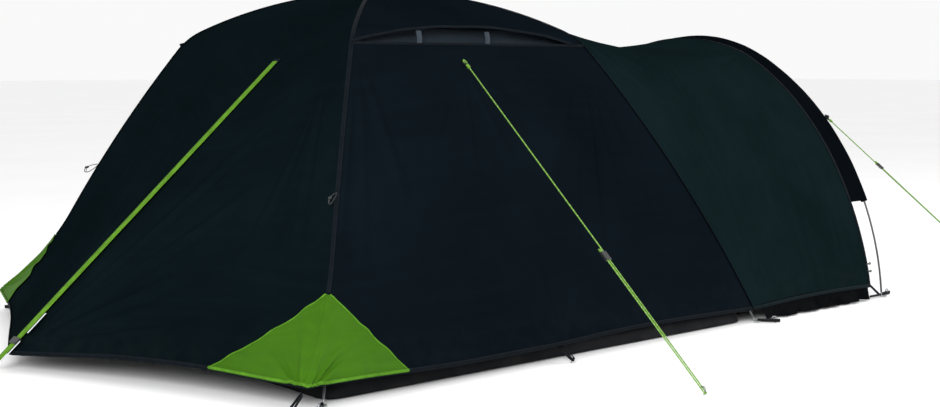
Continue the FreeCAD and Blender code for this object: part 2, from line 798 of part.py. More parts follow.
def inner_half(height, skin=0.0):
    distance = VAULT.at_height(height, INNER - skin)
    return SIDE_X * distance, SIDE_Y * distance


def groundsheet():
    """A shallow tub: a flat floor and four walls, welded to it, that lean in to meet the inner tent."""
    tall = size("tub_height")
    thick = size("sheet_thick")
    low_x = HALF_LENGTH - size("tub_inset")
    low_y = HALF_WIDTH - size("tub_inset")
    top_x, top_y = inner_half(tall)
    outer = Part.makeLoft([level_box(low_x, low_y, 0), level_box(top_x, top_y, tall)], True, True)
    lean = (low_x - top_x) / tall
    inner_low = thick * (1 + lean)
    inner_top = thick + lean
    hollow = Part.makeLoft([level_box(low_x - inner_low, low_y - inner_low, thick),
                            level_box(top_x - inner_top, top_y - inner_top, tall + 1)], True, True)
    tub = outer.cut(hollow)
    reach = 2 * HALF_DIAGONAL
    floor = tub.common(Part.makeBox(reach, reach, thick, Vec(-reach / 2, -reach / 2, 0)))
    walls = tub.cut(Part.makeBox(reach, reach, thick + WELD, Vec(-reach / 2, -reach / 2, 0)))
    for x_sign, y_sign in ((1, 1), (1, -1), (-1, 1), (-1, -1)):
        corner = Vec(x_sign * low_x, y_sign * low_y, 0)
        way = Vec(x_sign * (low_x - top_x), y_sign * (low_y - top_y), 0).normalize()
        slit = Part.makeBox(reach / 4, WELD, tall + 1, Vec(-reach / 8, -WELD / 2, 0))
        slit.Placement = FreeCAD.Placement(corner, FreeCAD.Rotation(way, UP.cross(way), UP, "ZXY"))
        walls = walls.cut(slit)
    return Part.makeCompound([floor] + walls.Solids)


def inner_level(height, skin):
    """A level section of the inner tent, its rear wall drawn in where the fly's rear ridge runs low."""
    half_x, half_y = inner_half(height, skin)
    rear = max(-half_x - 1, rear_ridge(height).x + size("inner_offset") + INNER_CLEAR + skin)
    return Part.makePolygon([Vec(half_x, -half_y, height), Vec(half_x, half_y, height),
                             Vec(-half_x, half_y, height), Vec(rear, 0, height),
                             Vec(-half_x, -half_y, height), Vec(half_x, -half_y, height)])


def inner_shell():
    """The inner tent's walls and roof: a vault under the poles, open at the bottom."""
    def vault(skin, bottom):
        top = size("crossing_height") + INNER - skin - INNER_CLEAR
        return Part.makeLoft([inner_level(z, skin) for z in steps(bottom, top, INNER_STEPS)], True, True)
    low = size("tub_height") + 3
    reach = 2 * HALF_DIAGONAL
    below = Part.makeBox(2 * reach, 2 * reach, 2, Vec(-reach, -reach, low - 2))
    return vault(0, low).cut(vault(INNER_THICK, low - 1)).cut(below)


def door_outline(width, low, top, radius, grow=0.0):
    """An inverted U on the YZ plane, as lines and arcs; grow pushes every side out."""
    half = width / 2 + grow
    low = low - grow
    top = top + grow
    radius = radius + grow
    arch = radius * (1 - math.sqrt(0.5))
    right = -half
    left = half
    return [
        Part.LineSegment(Vec(right, low, 0), Vec(left, low, 0)),
        Part.LineSegment(Vec(left, low, 0), Vec(left, top - radius, 0)),
        Part.Arc(Vec(left, top - radius, 0), Vec(left - arch, top - arch, 0), Vec(left - radius, top, 0)),
        Part.LineSegment(Vec(left - radius, top, 0), Vec(right + radius, top, 0)),
        Part.Arc(Vec(right + radius, top, 0), Vec(right + arch, top - arch, 0), Vec(right, top - radius, 0)),
        Part.LineSegment(Vec(right, top - radius, 0), Vec(right, low, 0)),
    ]


def outline_prism(edges, x_start, x_end):
    """A YZ outline swept along X, for cutting."""
    turn = FreeCAD.Placement(Vec(x_start, 0, 0), FreeCAD.Rotation(LEFT, UP, FORWARD, "ZXY"))
    wire = Part.Wire(Part.__sortEdges__([e.toShape() for e in edges]))
    wire.Placement = turn
    return Part.Face(wire).extrude(FORWARD * (x_end - x_start))


def inner_outline(grow):
    return door_outline(size("inner_door_width"), size("inner_door_low"), size("inner_door_top"),
                        size("door_corner"), grow)


feature("groundsheet_tub", groundsheet())
shell = inner_shell()
feature("inner_tent_canopy", shell.cut(outline_prism(inner_outline(size("door_gap")), *DOOR_CUT)))
feature("inner_door", shell.common(outline_prism(inner_outline(0), *DOOR_CUT)))


# ---------------------------------------------------------------- front panel and door

PANEL_BACK = 6
PANEL_X = size("tunnel_end") + PANEL_BACK
PANEL_INSET = 4
PANEL_LOWER = 10
ZIP_WIDTH = 24
ZIP_GAP = 2
ZIP_THICK = 1.2
ZIP_LIFT = 0.6
RUNNER_WIDE = 9
RUNNER_TALL = 20
RUNNER_DEEP = 6
PULL_WIDE = 7
PULL_LONG = 44
PULL_DROP = 28
PULL_THICK = 2.2
PULL_HOLE = 2
PULL_HOLE_DROP = 42


def front_panel():
    """A flat panel that fills the hoop behind the front band, with the doorway cut out."""
    owner = body("front_panel")
    sk = sketch(owner, "YZ_Plane", "front_panel_outline")
    crown = math.radians(size("hoop_crown_angle"))
    foot = HOOP.angle_at_height(HEM - PANEL_LOWER, -PANEL_INSET)
    middle = (foot + crown) / 2

    def at(angle, side):
        distance, height = HOOP.at_angle(angle, -PANEL_INSET)
        return Vec(side * distance, height, 0)

    add_outline(sk, [
        Part.Arc(at(foot, -1), at(middle, -1), at(crown, -1)),
        Part.Arc(at(crown, -1), at(0, 1), at(crown, 1)),
        Part.Arc(at(crown, 1), at(middle, 1), at(foot, 1)),
        Part.LineSegment(at(foot, 1), at(foot, -1)),
    ] + door_outline(size("front_door_width"), size("front_door_low"), size("front_door_top"),
                     size("door_corner"), size("door_gap")))
    pad(owner, sk, "Sizes.cloth")
    owner.setExpression(".Placement.Base.x", f"Sizes.tunnel_end + {PANEL_BACK}")
    return keep(owner, "front_panel")


front_panel()

door = body("front_door")
door_sketch = sketch(door, "YZ_Plane", "front_door_outline")
add_outline(door_sketch, door_outline(size("front_door_width"), size("front_door_low"),
                                      size("front_door_top"), size("door_corner")))
pad(door, door_sketch, "Sizes.cloth")
door.setExpression(".Placement.Base.x", f"Sizes.tunnel_end + {PANEL_BACK}")
keep(door, "front_door")

zip_track = body("front_zip_track")
zip_sketch = sketch(zip_track, "YZ_Plane", "zip_outline")
for grow in (ZIP_GAP + ZIP_WIDTH, ZIP_GAP):
    add_outline(zip_sketch, door_outline(size("front_door_width"), size("front_door_low"),
                                         size("front_door_top"), size("door_corner"),
                                         size("door_gap") + grow))
pad(zip_track, zip_sketch, str(ZIP_THICK))
zip_track.setExpression(".Placement.Base.x", f"Sizes.tunnel_end + {PANEL_BACK} + Sizes.cloth + {ZIP_LIFT}")
keep(zip_track, "front_zip_track")


def zip_slider(name, rise):
    """A slider body with a hanging pull tab."""
    owner = body(name)
    sk = sketch(owner, "YZ_Plane", name + "_body")
    add_box(sk, str(RUNNER_WIDE), str(RUNNER_TALL))
    pad(owner, sk, str(RUNNER_DEEP))
    tab_sk = sketch(owner, "YZ_Plane", name + "_tab")
    add_box(tab_sk, str(PULL_WIDE), str(PULL_LONG), 0, -PULL_DROP)
    add_circle(tab_sk, str(PULL_HOLE), 0, -PULL_HOLE_DROP)
    pad(owner, tab_sk, str(PULL_THICK))
    owner.Placement = rise
    return keep(owner, name)


# Both sliders start low on the right edge of their doorway; the inner one follows the sloping wall.
RUNNER_OUT = 8
RUNNER_LIFT = 3
RUNNER_START = 120
slider_y = -(size("front_door_width") / 2 + size("door_gap") + RUNNER_OUT)
zip_slider("front_zip_slider", FreeCAD.Placement(
    Vec(PANEL_X + CLOTH + RUNNER_LIFT, slider_y, size("front_door_low") + RUNNER_START),
    FreeCAD.Rotation()))

INNER_RUNNER_OUT = 10
INNER_RUNNER_LIFT = 6
INNER_RUNNER_START = 130
WALL_RUN = 300
inner_low = size("inner_door_low") + INNER_RUNNER_START
inner_x = inner_half(inner_low)[0]
inner_run = (inner_half(inner_low + WALL_RUN)[0] - inner_x) / WALL_RUN
inner_y = -(size("inner_door_width") / 2 + size("door_gap") + INNER_RUNNER_OUT)
zip_slider("inner_zip_slider", frame_at(Vec(inner_x + INNER_RUNNER_LIFT, inner_y, inner_low),
                                        FORWARD, Vec(inner_run, 0, 1)))


# ---------------------------------------------------------------- pegs

neck = bound("Part::Cylinder", "peg_neck_bar", Radius="Sizes.peg_neck_radius", Height="Sizes.peg_neck")
neck.setExpression(".Placement.Base.z", "-Sizes.peg_neck")
shaft = bound("Part::Cylinder", "peg_shaft", Radius="Sizes.peg_radius", Height="Sizes.peg_driven")
shaft.setExpression(".Placement.Base.z", "-Sizes.peg_neck - Sizes.peg_driven")
PEG_BLUNT = "0.6"
HOOK_TURN = "200"
tip = bound("Part::Cone", "peg_point", Radius1=PEG_BLUNT, Radius2="Sizes.peg_radius", Height="Sizes.peg_tip")
tip.setExpression(".Placement.Base.z", "-Sizes.peg_neck - Sizes.peg_driven - Sizes.peg_tip")
hook = bound("Part::Torus", "peg_hook", Radius1="Sizes.peg_hook", Radius2="Sizes.peg_neck_radius",
             Angle3=HOOK_TURN)
hook.Placement = FreeCAD.Placement(Vec(size("peg_hook"), 0, 0),
                                   FreeCAD.Rotation(FORWARD * -1, UP, LEFT, "ZXY"))
peg = fused("peg_master", [neck, shaft, tip, hook])

PEG_LEAN = math.radians(20)
PEG_HEAD = 14


def peg_axis(outwards):
    """A peg's head leans away from the tent."""
    return Vec(outwards.x, outwards.y, 0).normalize() * math.sin(PEG_LEAN) + UP * math.cos(PEG_LEAN)


def peg_frame(foot, outwards):
    """A peg driven in at foot, its hook turned back to the tent."""
    axis = peg_axis(outwards)
    return frame_at(foot + axis * PEG_HEAD, outwards * -1, axis)


PEG_PAST_FOOT = 78
CORNER_PEG = HALF_DIAGONAL + PEG_PAST_FOOT
HEM_PEG_OUT = 58
REAR_PEG_OUT = 120
REAR_PEG_TURN = 0.55
HEM_PEG_X = -50
corner_ways = [Vec(fx * SIDE_X, sy * SIDE_Y, 0) for fx in (-1, 1) for sy in (-1, 1)]
rear_hem_corners = [fly_corner(HEM, -1, side) for side in (-1, 1)]
SIDE_GUY_PEG = Vec(-60, 1757, 0)
FRONT_GUY_PEG = Vec(2760, 1235, 0)
FRONT_GUY_WAY = Vec(790, 430, 0)

peg_places = [peg_frame(way * CORNER_PEG, way) for way in corner_ways]
for corner in rear_hem_corners:
    way = Vec(-1, math.copysign(REAR_PEG_TURN, corner.y), 0).normalize()
    peg_places.append(peg_frame(Vec(corner.x, corner.y, 0) + way * REAR_PEG_OUT, way))
peg_places.append(peg_frame(REAR_PEG, FORWARD * -1))
for side in (-1, 1):
    peg_places.append(peg_frame(Vec(HEM_PEG_X, side * (HALF_WIDTH + HEM_PEG_OUT), 0), LEFT * side))
    peg_places.append(peg_frame(on_side(SIDE_GUY_PEG, side), LEFT * side))
copies("ground_pegs", peg, peg_places)

HOOP_PEG_X = size("hoop_x") + PEG_PAST_FOOT
HOOP_STRAP_Y = size("hoop_half_width") - 22
hoop_peg_places = []
for side in (-1, 1):
    hoop_peg_places.append(peg_frame(Vec(HOOP_PEG_X, side * HOOP_STRAP_Y, 0), FORWARD))
    hoop_peg_places.append(peg_frame(on_side(FRONT_GUY_PEG, side), on_side(FRONT_GUY_WAY, side)))
copies("hoop_pegs", peg, hoop_peg_places)


# ---------------------------------------------------------------- rings, webbing and loops

def ring_set(name, tilt):
    """A ring lying flat with a pin that rises from its edge into the pole's bore."""
    edge = Vec(size("ring_radius"), 0, 0)
    pin = bound("Part::Cylinder", name + "_pin", Radius="Sizes.pin_radius", Height="Sizes.pin_length")
    pin.Placement = frame_at(edge, LEFT, Vec(math.cos(tilt), 0, math.sin(tilt)))
    ring = bound("Part::Torus", name + "_ring", Radius1="Sizes.ring_radius", Radius2="Sizes.ring_wire")
    return fused(name, [ring, pin])


dome_ring = ring_set("dome_ring_master", VAULT.foot_angle)
hoop_ring = ring_set("hoop_ring_master", HOOP.foot_angle)
RING_Z = 5.0


def ring_places(pole):
    """The pin's foot is on the pole's own axis, just under the end of the rod."""
    places = []
    for sign in (-1, 1):
        length = sign * (pole.arch.half_length - RING_Z / math.sin(pole.arch.foot_angle))
        foot = pole.point(length)
        out = pole.direction * sign
        places.append(frame_at(foot + out * size("ring_radius"), out * -1, UP))
    return places


copies("corner_ring_pins", dome_ring, ring_places(POLES["dome_pole_lower"][0])
       + ring_places(POLES["dome_pole_upper"][0]))
copies("hoop_ring_pins", hoop_ring, ring_places(hoop_pole))


LOOP_BAND = 5
LOOP_LONG = 96
LOOP_WIDE = 26
LOOP_FLAT_Z = 9
LOOP_PEG_Z = 12
LOOP_PAST_PEG = 10
# A loop's far end lies a little past the peg's foot, because the peg leans outwards.
PEG_SHIFT = 4


def loop_body(name, length, width):
    """A flat webbing loop: a long ring with round ends, lying in its own XY plane."""
    owner = body(name)
    sk = sketch(owner, "XY_Plane", name + "_outline")
    for inset in (0, LOOP_BAND):
        reach = length / 2 - inset
        half = width / 2 - inset
        straight = reach - half
        add_outline(sk, [
            Part.LineSegment(Vec(-straight, -half, 0), Vec(straight, -half, 0)),
            Part.Arc(Vec(straight, -half, 0), Vec(reach, 0, 0), Vec(straight, half, 0)),
            Part.LineSegment(Vec(straight, half, 0), Vec(-straight, half, 0)),
            Part.Arc(Vec(-straight, half, 0), Vec(-reach, 0, 0), Vec(-straight, -half, 0)),
        ])
    pad(owner, sk, "Sizes.web_thick")
    return owner


peg_loop = loop_body("peg_loop_master", LOOP_LONG, LOOP_WIDE)


def loop_between(near, far, tilt_from=UP):
    """A loop that reaches from near to far."""
    along = (far - near).normalize()
    z = along.cross(tilt_from).cross(along).normalize()
    return frame_at((near + far) / 2, along, z)


corner_loops = []
for way in corner_ways:
    peg_at = way * (CORNER_PEG + PEG_SHIFT) + UP * LOOP_FLAT_Z
    corner_loops.append(loop_between(peg_at - way * 74, peg_at + way * 18))
copies("corner_webbing_loops", peg_loop, corner_loops)

# How far back from its peg, and how high, each loop leaves the hem.
CORNER_HEM_LOOP = (84, 42)
SIDE_HEM_LOOP = (70, 52)
hem_loops = []
for corner in rear_hem_corners:
    way = Vec(-1, math.copysign(REAR_PEG_TURN, corner.y), 0).normalize()
    peg_at = Vec(corner.x, corner.y, 0) + way * (REAR_PEG_OUT + PEG_SHIFT)
    hem_loops.append(loop_between(peg_at - way * CORNER_HEM_LOOP[0] + UP * CORNER_HEM_LOOP[1],
                                  peg_at + way * LOOP_PAST_PEG + UP * LOOP_PEG_Z))
hem_loops.append(loop_between(REAR_PEG + Vec(80, 0, 40), REAR_PEG + Vec(-14, 0, LOOP_PEG_Z)))
for side in (-1, 1):
    out = LEFT * side
    peg_at = Vec(HEM_PEG_X, side * (HALF_WIDTH + HEM_PEG_OUT + PEG_SHIFT), 0)
    hem_loops.append(loop_between(peg_at - out * SIDE_HEM_LOOP[0] + UP * SIDE_HEM_LOOP[1],
                                  peg_at + out * LOOP_PAST_PEG + UP * LOOP_PEG_Z))
copies("hem_peg_loops", peg_loop, hem_loops)


def strap_solid(start, end, width, side_way):
    """A flat strap between two points, width measured along side_way."""
    along = (end - start).normalize()
    across = (side_way - along * side_way.dot(along)).normalize()
    face_way = along.cross(across)
    block = Part.makeBox(width, size("web_thick"), (end - start).Length,
                         Vec(-width / 2, -size("web_thick") / 2, 0))
    block.Placement = FreeCAD.Placement(start, FreeCAD.Rotation(across, face_way, along, "ZXY"))
    return block


FOOT_STRAP_WIDE = 12
STRAP_APART = 5
STRAP_FOOT_Z = 14
UPPER_STRAP_END = Vec(size("tunnel_end") + 20, 0, 62)
LOWER_STRAP_END = Vec(size("tunnel_end") + 12, 0, 18)
foot_straps = []
for side in (-1, 1):
    upper_y = LEFT * side * HOOP_STRAP_Y
    lower_y = upper_y + LEFT * side * STRAP_APART
    foot = Vec(size("hoop_x") - 16, 0, STRAP_FOOT_Z)
    foot_straps.append(strap_solid(foot + upper_y, UPPER_STRAP_END + upper_y, FOOT_STRAP_WIDE, UP))
    foot_straps.append(strap_solid(foot + lower_y - UP * (STRAP_APART + 1), LOWER_STRAP_END + lower_y,
                                   FOOT_STRAP_WIDE, UP))
straps = doc.addObject("Part::Feature", "foot_strap_set")
straps.Shape = Part.makeCompound(foot_straps)
hoop_loops = []
for side in (-1, 1):
    peg_at = Vec(HOOP_PEG_X, side * HOOP_STRAP_Y, LOOP_FLAT_Z)
    hoop_loops.append(loop_between(peg_at - FORWARD * 70, peg_at + FORWARD * 22))
copies("hoop_foot_straps", peg_loop, hoop_loops, [straps])

# Mud skirts close the gap under the tunnel's hem.
SKIRT_SHORT = 12
SKIRT_TUCK = 15
SKIRT_THICK = 2
SKIRT_Z = 11
skirt = body("skirt_master")
skirt_sketch = sketch(skirt, "XY_Plane", "skirt_section")
add_box(skirt_sketch, f"Sizes.tunnel_end - Sizes.tunnel_start - {SKIRT_SHORT}", str(SKIRT_THICK))
pad(skirt, skirt_sketch, f"Sizes.hem_height - {SKIRT_TUCK}")
copies("mud_skirts", skirt, [
    FreeCAD.Placement(Vec((size("tunnel_start") + size("tunnel_end")) / 2,
                          side * (size("hoop_half_width") + INNER_SKIN + 1), SKIRT_Z), FreeCAD.Rotation())
    for side in (-1, 1)])


# ---------------------------------------------------------------- guys and sliders

# The cord goes round its peg this far above the ground, and the end knot stops just above the slider.
GUY_ON_PEG = 9
END_ROOM = 2
SIDE_SLIDER_SHARE = 0.61
FRONT_SLIDER_SHARE = 0.27


class Guy:
    """A cord from a tab down to a peg, round it, and back up to a slider part of the way up."""

    def __init__(self, top, peg_foot, outwards, slider_share):
        self.top = top
        run = peg_foot + peg_axis(outwards) * GUY_ON_PEG - top
        self.length = run.Length
        self.way = run.normalize()
        self.across = self.way.cross(UP).normalize()
        self.slider_at = self.length * slider_share

    def at(self, along, run):
        """A point along the cord; run is -1 for the way down and 1 for the way back up."""
        return self.top + self.way * along + self.across * (run * size("guy_spread"))

    def cord(self):
        """The whole cord as one bent solid."""
        end = self.length
        round_peg = self.top + self.way * (end + size("guy_spread"))
        wire = Part.Wire([
            Part.makeLine(self.at(0, -1), self.at(end, -1)),
            Part.Arc(self.at(end, -1), round_peg, self.at(end, 1)).toShape(),
            Part.makeLine(self.at(end, 1), self.at(self.slider_at + END_ROOM, 1)),
        ])
        profile = Part.Wire(Part.makeCircle(size("guy_radius"), self.at(0, -1), self.way))
        return wire.makePipeShell([profile], True, False)

    def slider_frame(self):
        """Where the slider stands: across both runs of the cord."""
        return frame_at(self.at(self.slider_at, 0), self.across, self.way)


guy_slider = body("slider_master")
slider_sketch = sketch(guy_slider, "XY_Plane", "slider_outline")
add_box(slider_sketch, "Sizes.slider_width", "Sizes.slider_depth")
spread = size("guy_spread")
add_circle(slider_sketch, "Sizes.slider_bore", -spread, 0)
add_circle(slider_sketch, "Sizes.slider_bore", spread, 0)
pad(guy_slider, slider_sketch, "Sizes.slider_length")

SIDE_TAB_Z = 1040
side_tab_y = SIDE_Y * VAULT.at_height(SIDE_TAB_Z, FLY)
HOOP_TAB_Z = 795
hoop_tab_y = HOOP.at_height(HOOP_TAB_Z, INNER_SKIN - 2)
# From a tab's root to the cord that hangs in its outer end.
SIDE_TAB_REACH = Vec(0, 26, -5)
HOOP_TAB_REACH = Vec(32, 4, -10)
TAB_LEN = 22
guys = {}
for side, word in ((-1, "right"), (1, "left")):
    tab_point = Vec(size("vent_x"), side_tab_y, SIDE_TAB_Z) + SIDE_TAB_REACH
    guys["side_guy_" + word] = Guy(on_side(tab_point, side), on_side(SIDE_GUY_PEG, side), LEFT * side,
                                   SIDE_SLIDER_SHARE)
    hoop_point = Vec(size("hoop_x"), hoop_tab_y, HOOP_TAB_Z) + HOOP_TAB_REACH
    guys["front_guy_" + word] = Guy(on_side(hoop_point, side), on_side(FRONT_GUY_PEG, side),
                                    on_side(FRONT_GUY_WAY, side), FRONT_SLIDER_SHARE)

for kind in ("side_guy", "front_guy"):
    feature(kind + "_lines", [guys[kind + "_right"].cord(), guys[kind + "_left"].cord()])
for name, guy in guys.items():
    copies(name + "_slider", guy_slider, [guy.slider_frame()])

tab_master = body("tab_master")
tab_outline = sketch(tab_master, "XY_Plane", "tab_outline")
add_box(tab_outline, "Sizes.web_width", "2")
pad(tab_master, tab_outline, str(TAB_LEN))
copies("side_guy_tabs", tab_master, [
    frame_at(Vec(size("vent_x"), side * (side_tab_y + 3), SIDE_TAB_Z), FORWARD, Vec(0, side, -0.35))
    for side in (-1, 1)])
copies("hoop_guy_tabs", tab_master, [
    frame_at(Vec(size("hoop_x") + 12, side * hoop_tab_y * 0.995, HOOP_TAB_Z), UP,
             Vec(1, side * 0.1, -0.2)) for side in (-1, 1)])


# ---------------------------------------------------------------- clips, ties, toggles, lamp ring

CLIP_INSIDE = 1.2
CLIP_OUTSIDE = 3.0
CLIP_NECK_GAP = 10
CLIP_NECK_WIDE = 4
CLIP_NECK_ROOT = 2.2
clip = body("clip_master")
clip_sketch = sketch(clip, "XY_Plane", "clip_ring")
add_circle(clip_sketch, f"Sizes.pole_radius + {CLIP_OUTSIDE}")
add_circle(clip_sketch, f"Sizes.pole_radius + {CLIP_INSIDE}")
pad(clip, clip_sketch, "Sizes.clip_width", True)
neck_sketch = sketch(clip, "XY_Plane", "clip_neck")
neck_length = size("inner_offset") - size("pole_radius") - CLIP_NECK_GAP
add_box(neck_sketch, str(CLIP_NECK_WIDE), str(neck_length), 0,
        -(size("pole_radius") + CLIP_NECK_ROOT + neck_length / 2))
pad(clip, neck_sketch, "Sizes.clip_width", True)


def clip_places(pole, heights):
    """Clips hang under the pole at these heights, one on each leg."""
    places = []
    for sign in (-1, 1):
        for share in heights:
            length = sign * pole.arch.half_length * share
            along = pole.tangent(length)
            across = pole.direction.cross(UP)
            outwards = across.cross(along)
            if outwards.z < 0:
                outwards = outwards * -1
            places.append(FreeCAD.Placement(pole.point(length),
                                            FreeCAD.Rotation(outwards.cross(along), outwards, along, "ZXY")))
    return places


CLIP_SHARES = (0.16, 0.44, 0.62, 0.83)
copies("inner_pole_clips", clip, clip_places(POLES["dome_pole_lower"][0], CLIP_SHARES)
       + clip_places(POLES["dome_pole_upper"][0], CLIP_SHARES))

HOOK_EYE = 6
HOOK_HOLE = 3
HOOK_REACH = 28
HOOK_ARM = 24
HOOK_THICK = "2.4"
HOOK_HEIGHTS = (125, 158)
wall_hook = body("wall_hook_master")
hook_eye = sketch(wall_hook, "XZ_Plane", "wall_hook_eye")
add_circle(hook_eye, str(HOOK_EYE), HOOK_REACH, 0)
add_circle(hook_eye, str(HOOK_HOLE), HOOK_REACH, 0)
pad(wall_hook, hook_eye, HOOK_THICK, True)
hook_arm = sketch(wall_hook, "XZ_Plane", "wall_hook_arm")
add_box(hook_arm, str(HOOK_ARM), str(HOOK_EYE), HOOK_ARM / 2, 0)
pad(wall_hook, hook_arm, HOOK_THICK, True)
hook_places = []
for side in (-1, 1):
    for height in HOOK_HEIGHTS:
        y = side * (HOOP.at_height(height) + INNER_SKIN)
        hook_places.append(FreeCAD.Placement(Vec(size("tunnel_end") + 3, y, height), FreeCAD.Rotation()))
copies("hoop_wall_hooks", wall_hook, hook_places)

TIE_ROOM = 3.5
TIE_WIRE = 1.2
tie = bound("Part::Torus", "crossing_tie", Radius1=f"Sizes.pole_radius * 2 + {TIE_ROOM}",
            Radius2=str(TIE_WIRE))
tie.Placement = FreeCAD.Placement(Vec(0, 0, size("crossing_height")), FreeCAD.Rotation(LEFT, 90))
keep(tie, "crossing_tie")

LAMP_RING = 16
LAMP_WIRE = 1.8
LAMP_DROP = 57
LAMP_LOOP = (34, 18)
LAMP_LOOP_UP = 22
lamp_ring = bound("Part::Torus", "lamp_ring", Radius1=str(LAMP_RING), Radius2=str(LAMP_WIRE))
LAMP_Z = size("crossing_height") + INNER - LAMP_DROP
lamp_ring.Placement = FreeCAD.Placement(Vec(0, 0, LAMP_Z), FreeCAD.Rotation(LEFT, 90))
keep(lamp_ring, "lamp_ring")
lamp_loop = loop_body("lamp_loop", *LAMP_LOOP)
lamp_loop.Placement = FreeCAD.Placement(Vec(0, -0.9, LAMP_Z + LAMP_LOOP_UP),
                                        FreeCAD.Rotation(UP, FORWARD, LEFT, "ZXY"))
keep(lamp_loop, "lamp_loop")

TOGGLE_RADIUS = 4
TOGGLE_LONG = 34
TOGGLE_HEIGHTS = (250, 560)
toggle = bound("Part::Cylinder", "toggle_pin", Radius=str(TOGGLE_RADIUS), Height=str(TOGGLE_LONG))
toggle_neck = bound("Part::Torus", "toggle_neck", Radius1=str(TOGGLE_RADIUS + 0.6), Radius2="1.4")
toggle_neck.Placement.Base = Vec(0, 0, TOGGLE_LONG / 2)
toggle_cut = doc.addObject("Part::Cut", "toggle_master")
toggle_cut.Base = toggle
toggle_cut.Tool = toggle_neck
toggle_y = size("front_door_width") / 2 + size("door_gap") + 60
copies("door_tie_toggles", toggle_cut, [
    FreeCAD.Placement(Vec(PANEL_X + CLOTH + 5, toggle_y, height), FreeCAD.Rotation(UP, 0))
    for height in TOGGLE_HEIGHTS])

TIE_LOOP = (58, 22)
TIE_LOOP_Z = 620
TIE_LOOP_START = 4
rear_loop = loop_body("rear_tie_loop_master", *TIE_LOOP)
loop_spots = []
for side in (-1, 1):
    spot = fly_corner(TIE_LOOP_Z, -1, side)
    outward = Vec(-1, side * 0.5, -0.15).normalize()
    loop_spots.append(loop_between(spot + outward * TIE_LOOP_START,
                                   spot + outward * (TIE_LOOP_START + TIE_LOOP[0])))
copies("rear_tie_loops", rear_loop, loop_spots)


# ---------------------------------------------------------------- check and write

doc.recompute()
failed = [o.Name for o in doc.Objects if "Invalid" in o.State or "Error" in o.State]
if failed:
    raise SystemExit("these objects did not compute: " + ", ".join(failed))
os.makedirs("parts", exist_ok=True)
for old in os.listdir("parts"):
    if old.endswith(".step"):
        os.remove(os.path.join("parts", old))
for obj in exported:
    shape = obj.Shape
    if shape.isNull() or not shape.isValid() or not shape.Solids:
        raise SystemExit(f"{obj.Label} has no valid solid")
    if min(s.Volume for s in shape.Solids) <= 0:
        raise SystemExit(f"{obj.Label} has a solid that is inside out")
    shape.exportStep(os.path.join("parts", obj.Label + ".step"))
print(len(exported), "nodes written")
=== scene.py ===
"""The looks of a dome tent with a tunnel porch, built round its CAD frame.

Metres.  +X runs from the rear of the tent to the porch, +Y to its left, +Z up.  Each cloth panel is one
curved sheet from a formula, pushed in and out along its normal by tension folds and fine crumples.
"""
import math

import bmesh
import bpy
import numpy as np
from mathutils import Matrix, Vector


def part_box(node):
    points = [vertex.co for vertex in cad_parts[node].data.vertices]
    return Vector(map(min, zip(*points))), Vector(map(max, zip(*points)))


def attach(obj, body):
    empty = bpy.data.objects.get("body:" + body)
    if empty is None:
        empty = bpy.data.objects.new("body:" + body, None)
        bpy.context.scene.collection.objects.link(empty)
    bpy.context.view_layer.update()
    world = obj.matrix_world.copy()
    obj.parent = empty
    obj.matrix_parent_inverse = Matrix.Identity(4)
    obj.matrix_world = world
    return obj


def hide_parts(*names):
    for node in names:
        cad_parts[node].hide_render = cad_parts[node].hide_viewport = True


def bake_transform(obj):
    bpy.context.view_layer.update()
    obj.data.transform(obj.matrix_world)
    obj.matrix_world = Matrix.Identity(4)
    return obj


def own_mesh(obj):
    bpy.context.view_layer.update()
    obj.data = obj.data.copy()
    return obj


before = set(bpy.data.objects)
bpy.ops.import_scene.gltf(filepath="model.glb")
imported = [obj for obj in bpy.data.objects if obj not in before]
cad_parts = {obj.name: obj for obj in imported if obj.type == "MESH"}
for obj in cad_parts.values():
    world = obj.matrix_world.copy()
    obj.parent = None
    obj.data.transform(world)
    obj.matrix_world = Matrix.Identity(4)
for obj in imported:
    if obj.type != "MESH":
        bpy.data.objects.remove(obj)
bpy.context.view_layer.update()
LEFT, RIGHT = 1, -1
SIDES = ((RIGHT, "right"), (LEFT, "left"))
UP = np.array([0.0, 0, 1])

# ---------------------------------------------------------------- sizes

HALF_LENGTH, HALF_WIDTH = 1.05, 1.10
HALF_DIAGONAL = math.hypot(HALF_LENGTH, HALF_WIDTH)
RIDGE_X, RIDGE_Y = HALF_LENGTH / HALF_DIAGONAL, HALF_WIDTH / HALF_DIAGONAL
CROSSING = 1.307
CROWN_ANGLE, SHOULDER_ANGLE, FOOT_ANGLE = (math.radians(a) for a in (24.3, 50.4, 63.9))
SHOULDER_RADIUS = 0.262
FLY = 0.018
APEX = CROSSING + FLY

HOOP_X = 1.970
HOOP_HALF_WIDTH, HOOP_HEIGHT = 1.088, 1.162
HOOP_CROWN_RADIUS, HOOP_CROWN_ANGLE = 0.845, math.radians(28.2)
HOOP_SKIN = 0.0155
HOOP_HEM = 0.060
ROOF_SHARE = 0.30
GUY_ON_HOOP = 0.795
GUY_SKIN = 0.012
SPLIT_X = 1.104
BAND_X = 1.858
BAND_LOW = 0.428

VENT_LOW = 1.104
STRAP_TOP_X, STRAP_TOP_Z = 0.494, 1.038
REAR_X, REAR_Z = 1.581, 0.061
FLARE_TOP, FLARE_LOW = 0.42, 0.065
FLARE_X, FLARE_Y = 0.112, 0.062
PATCH_SIDE, PATCH_TOP = 0.385, 0.318
VENT_MIDDLE = -0.11
BRIM_MIDDLE = -0.04
BRIM_LOW = 1.112

CLOTH = 0.0008
TAPE = 0.0011

# Points well inside the tent and inside the porch, which tell a sheet's outside from its inside.
HEART = (0.2, 0.0, 0.35)
PORCH_HEART = (1.4, 0, 0.3)
RIDGE_HEART = (0, 0, 0.2)
INNER_HEART = (0, 0, 0.4)


# ---------------------------------------------------------------- small maths

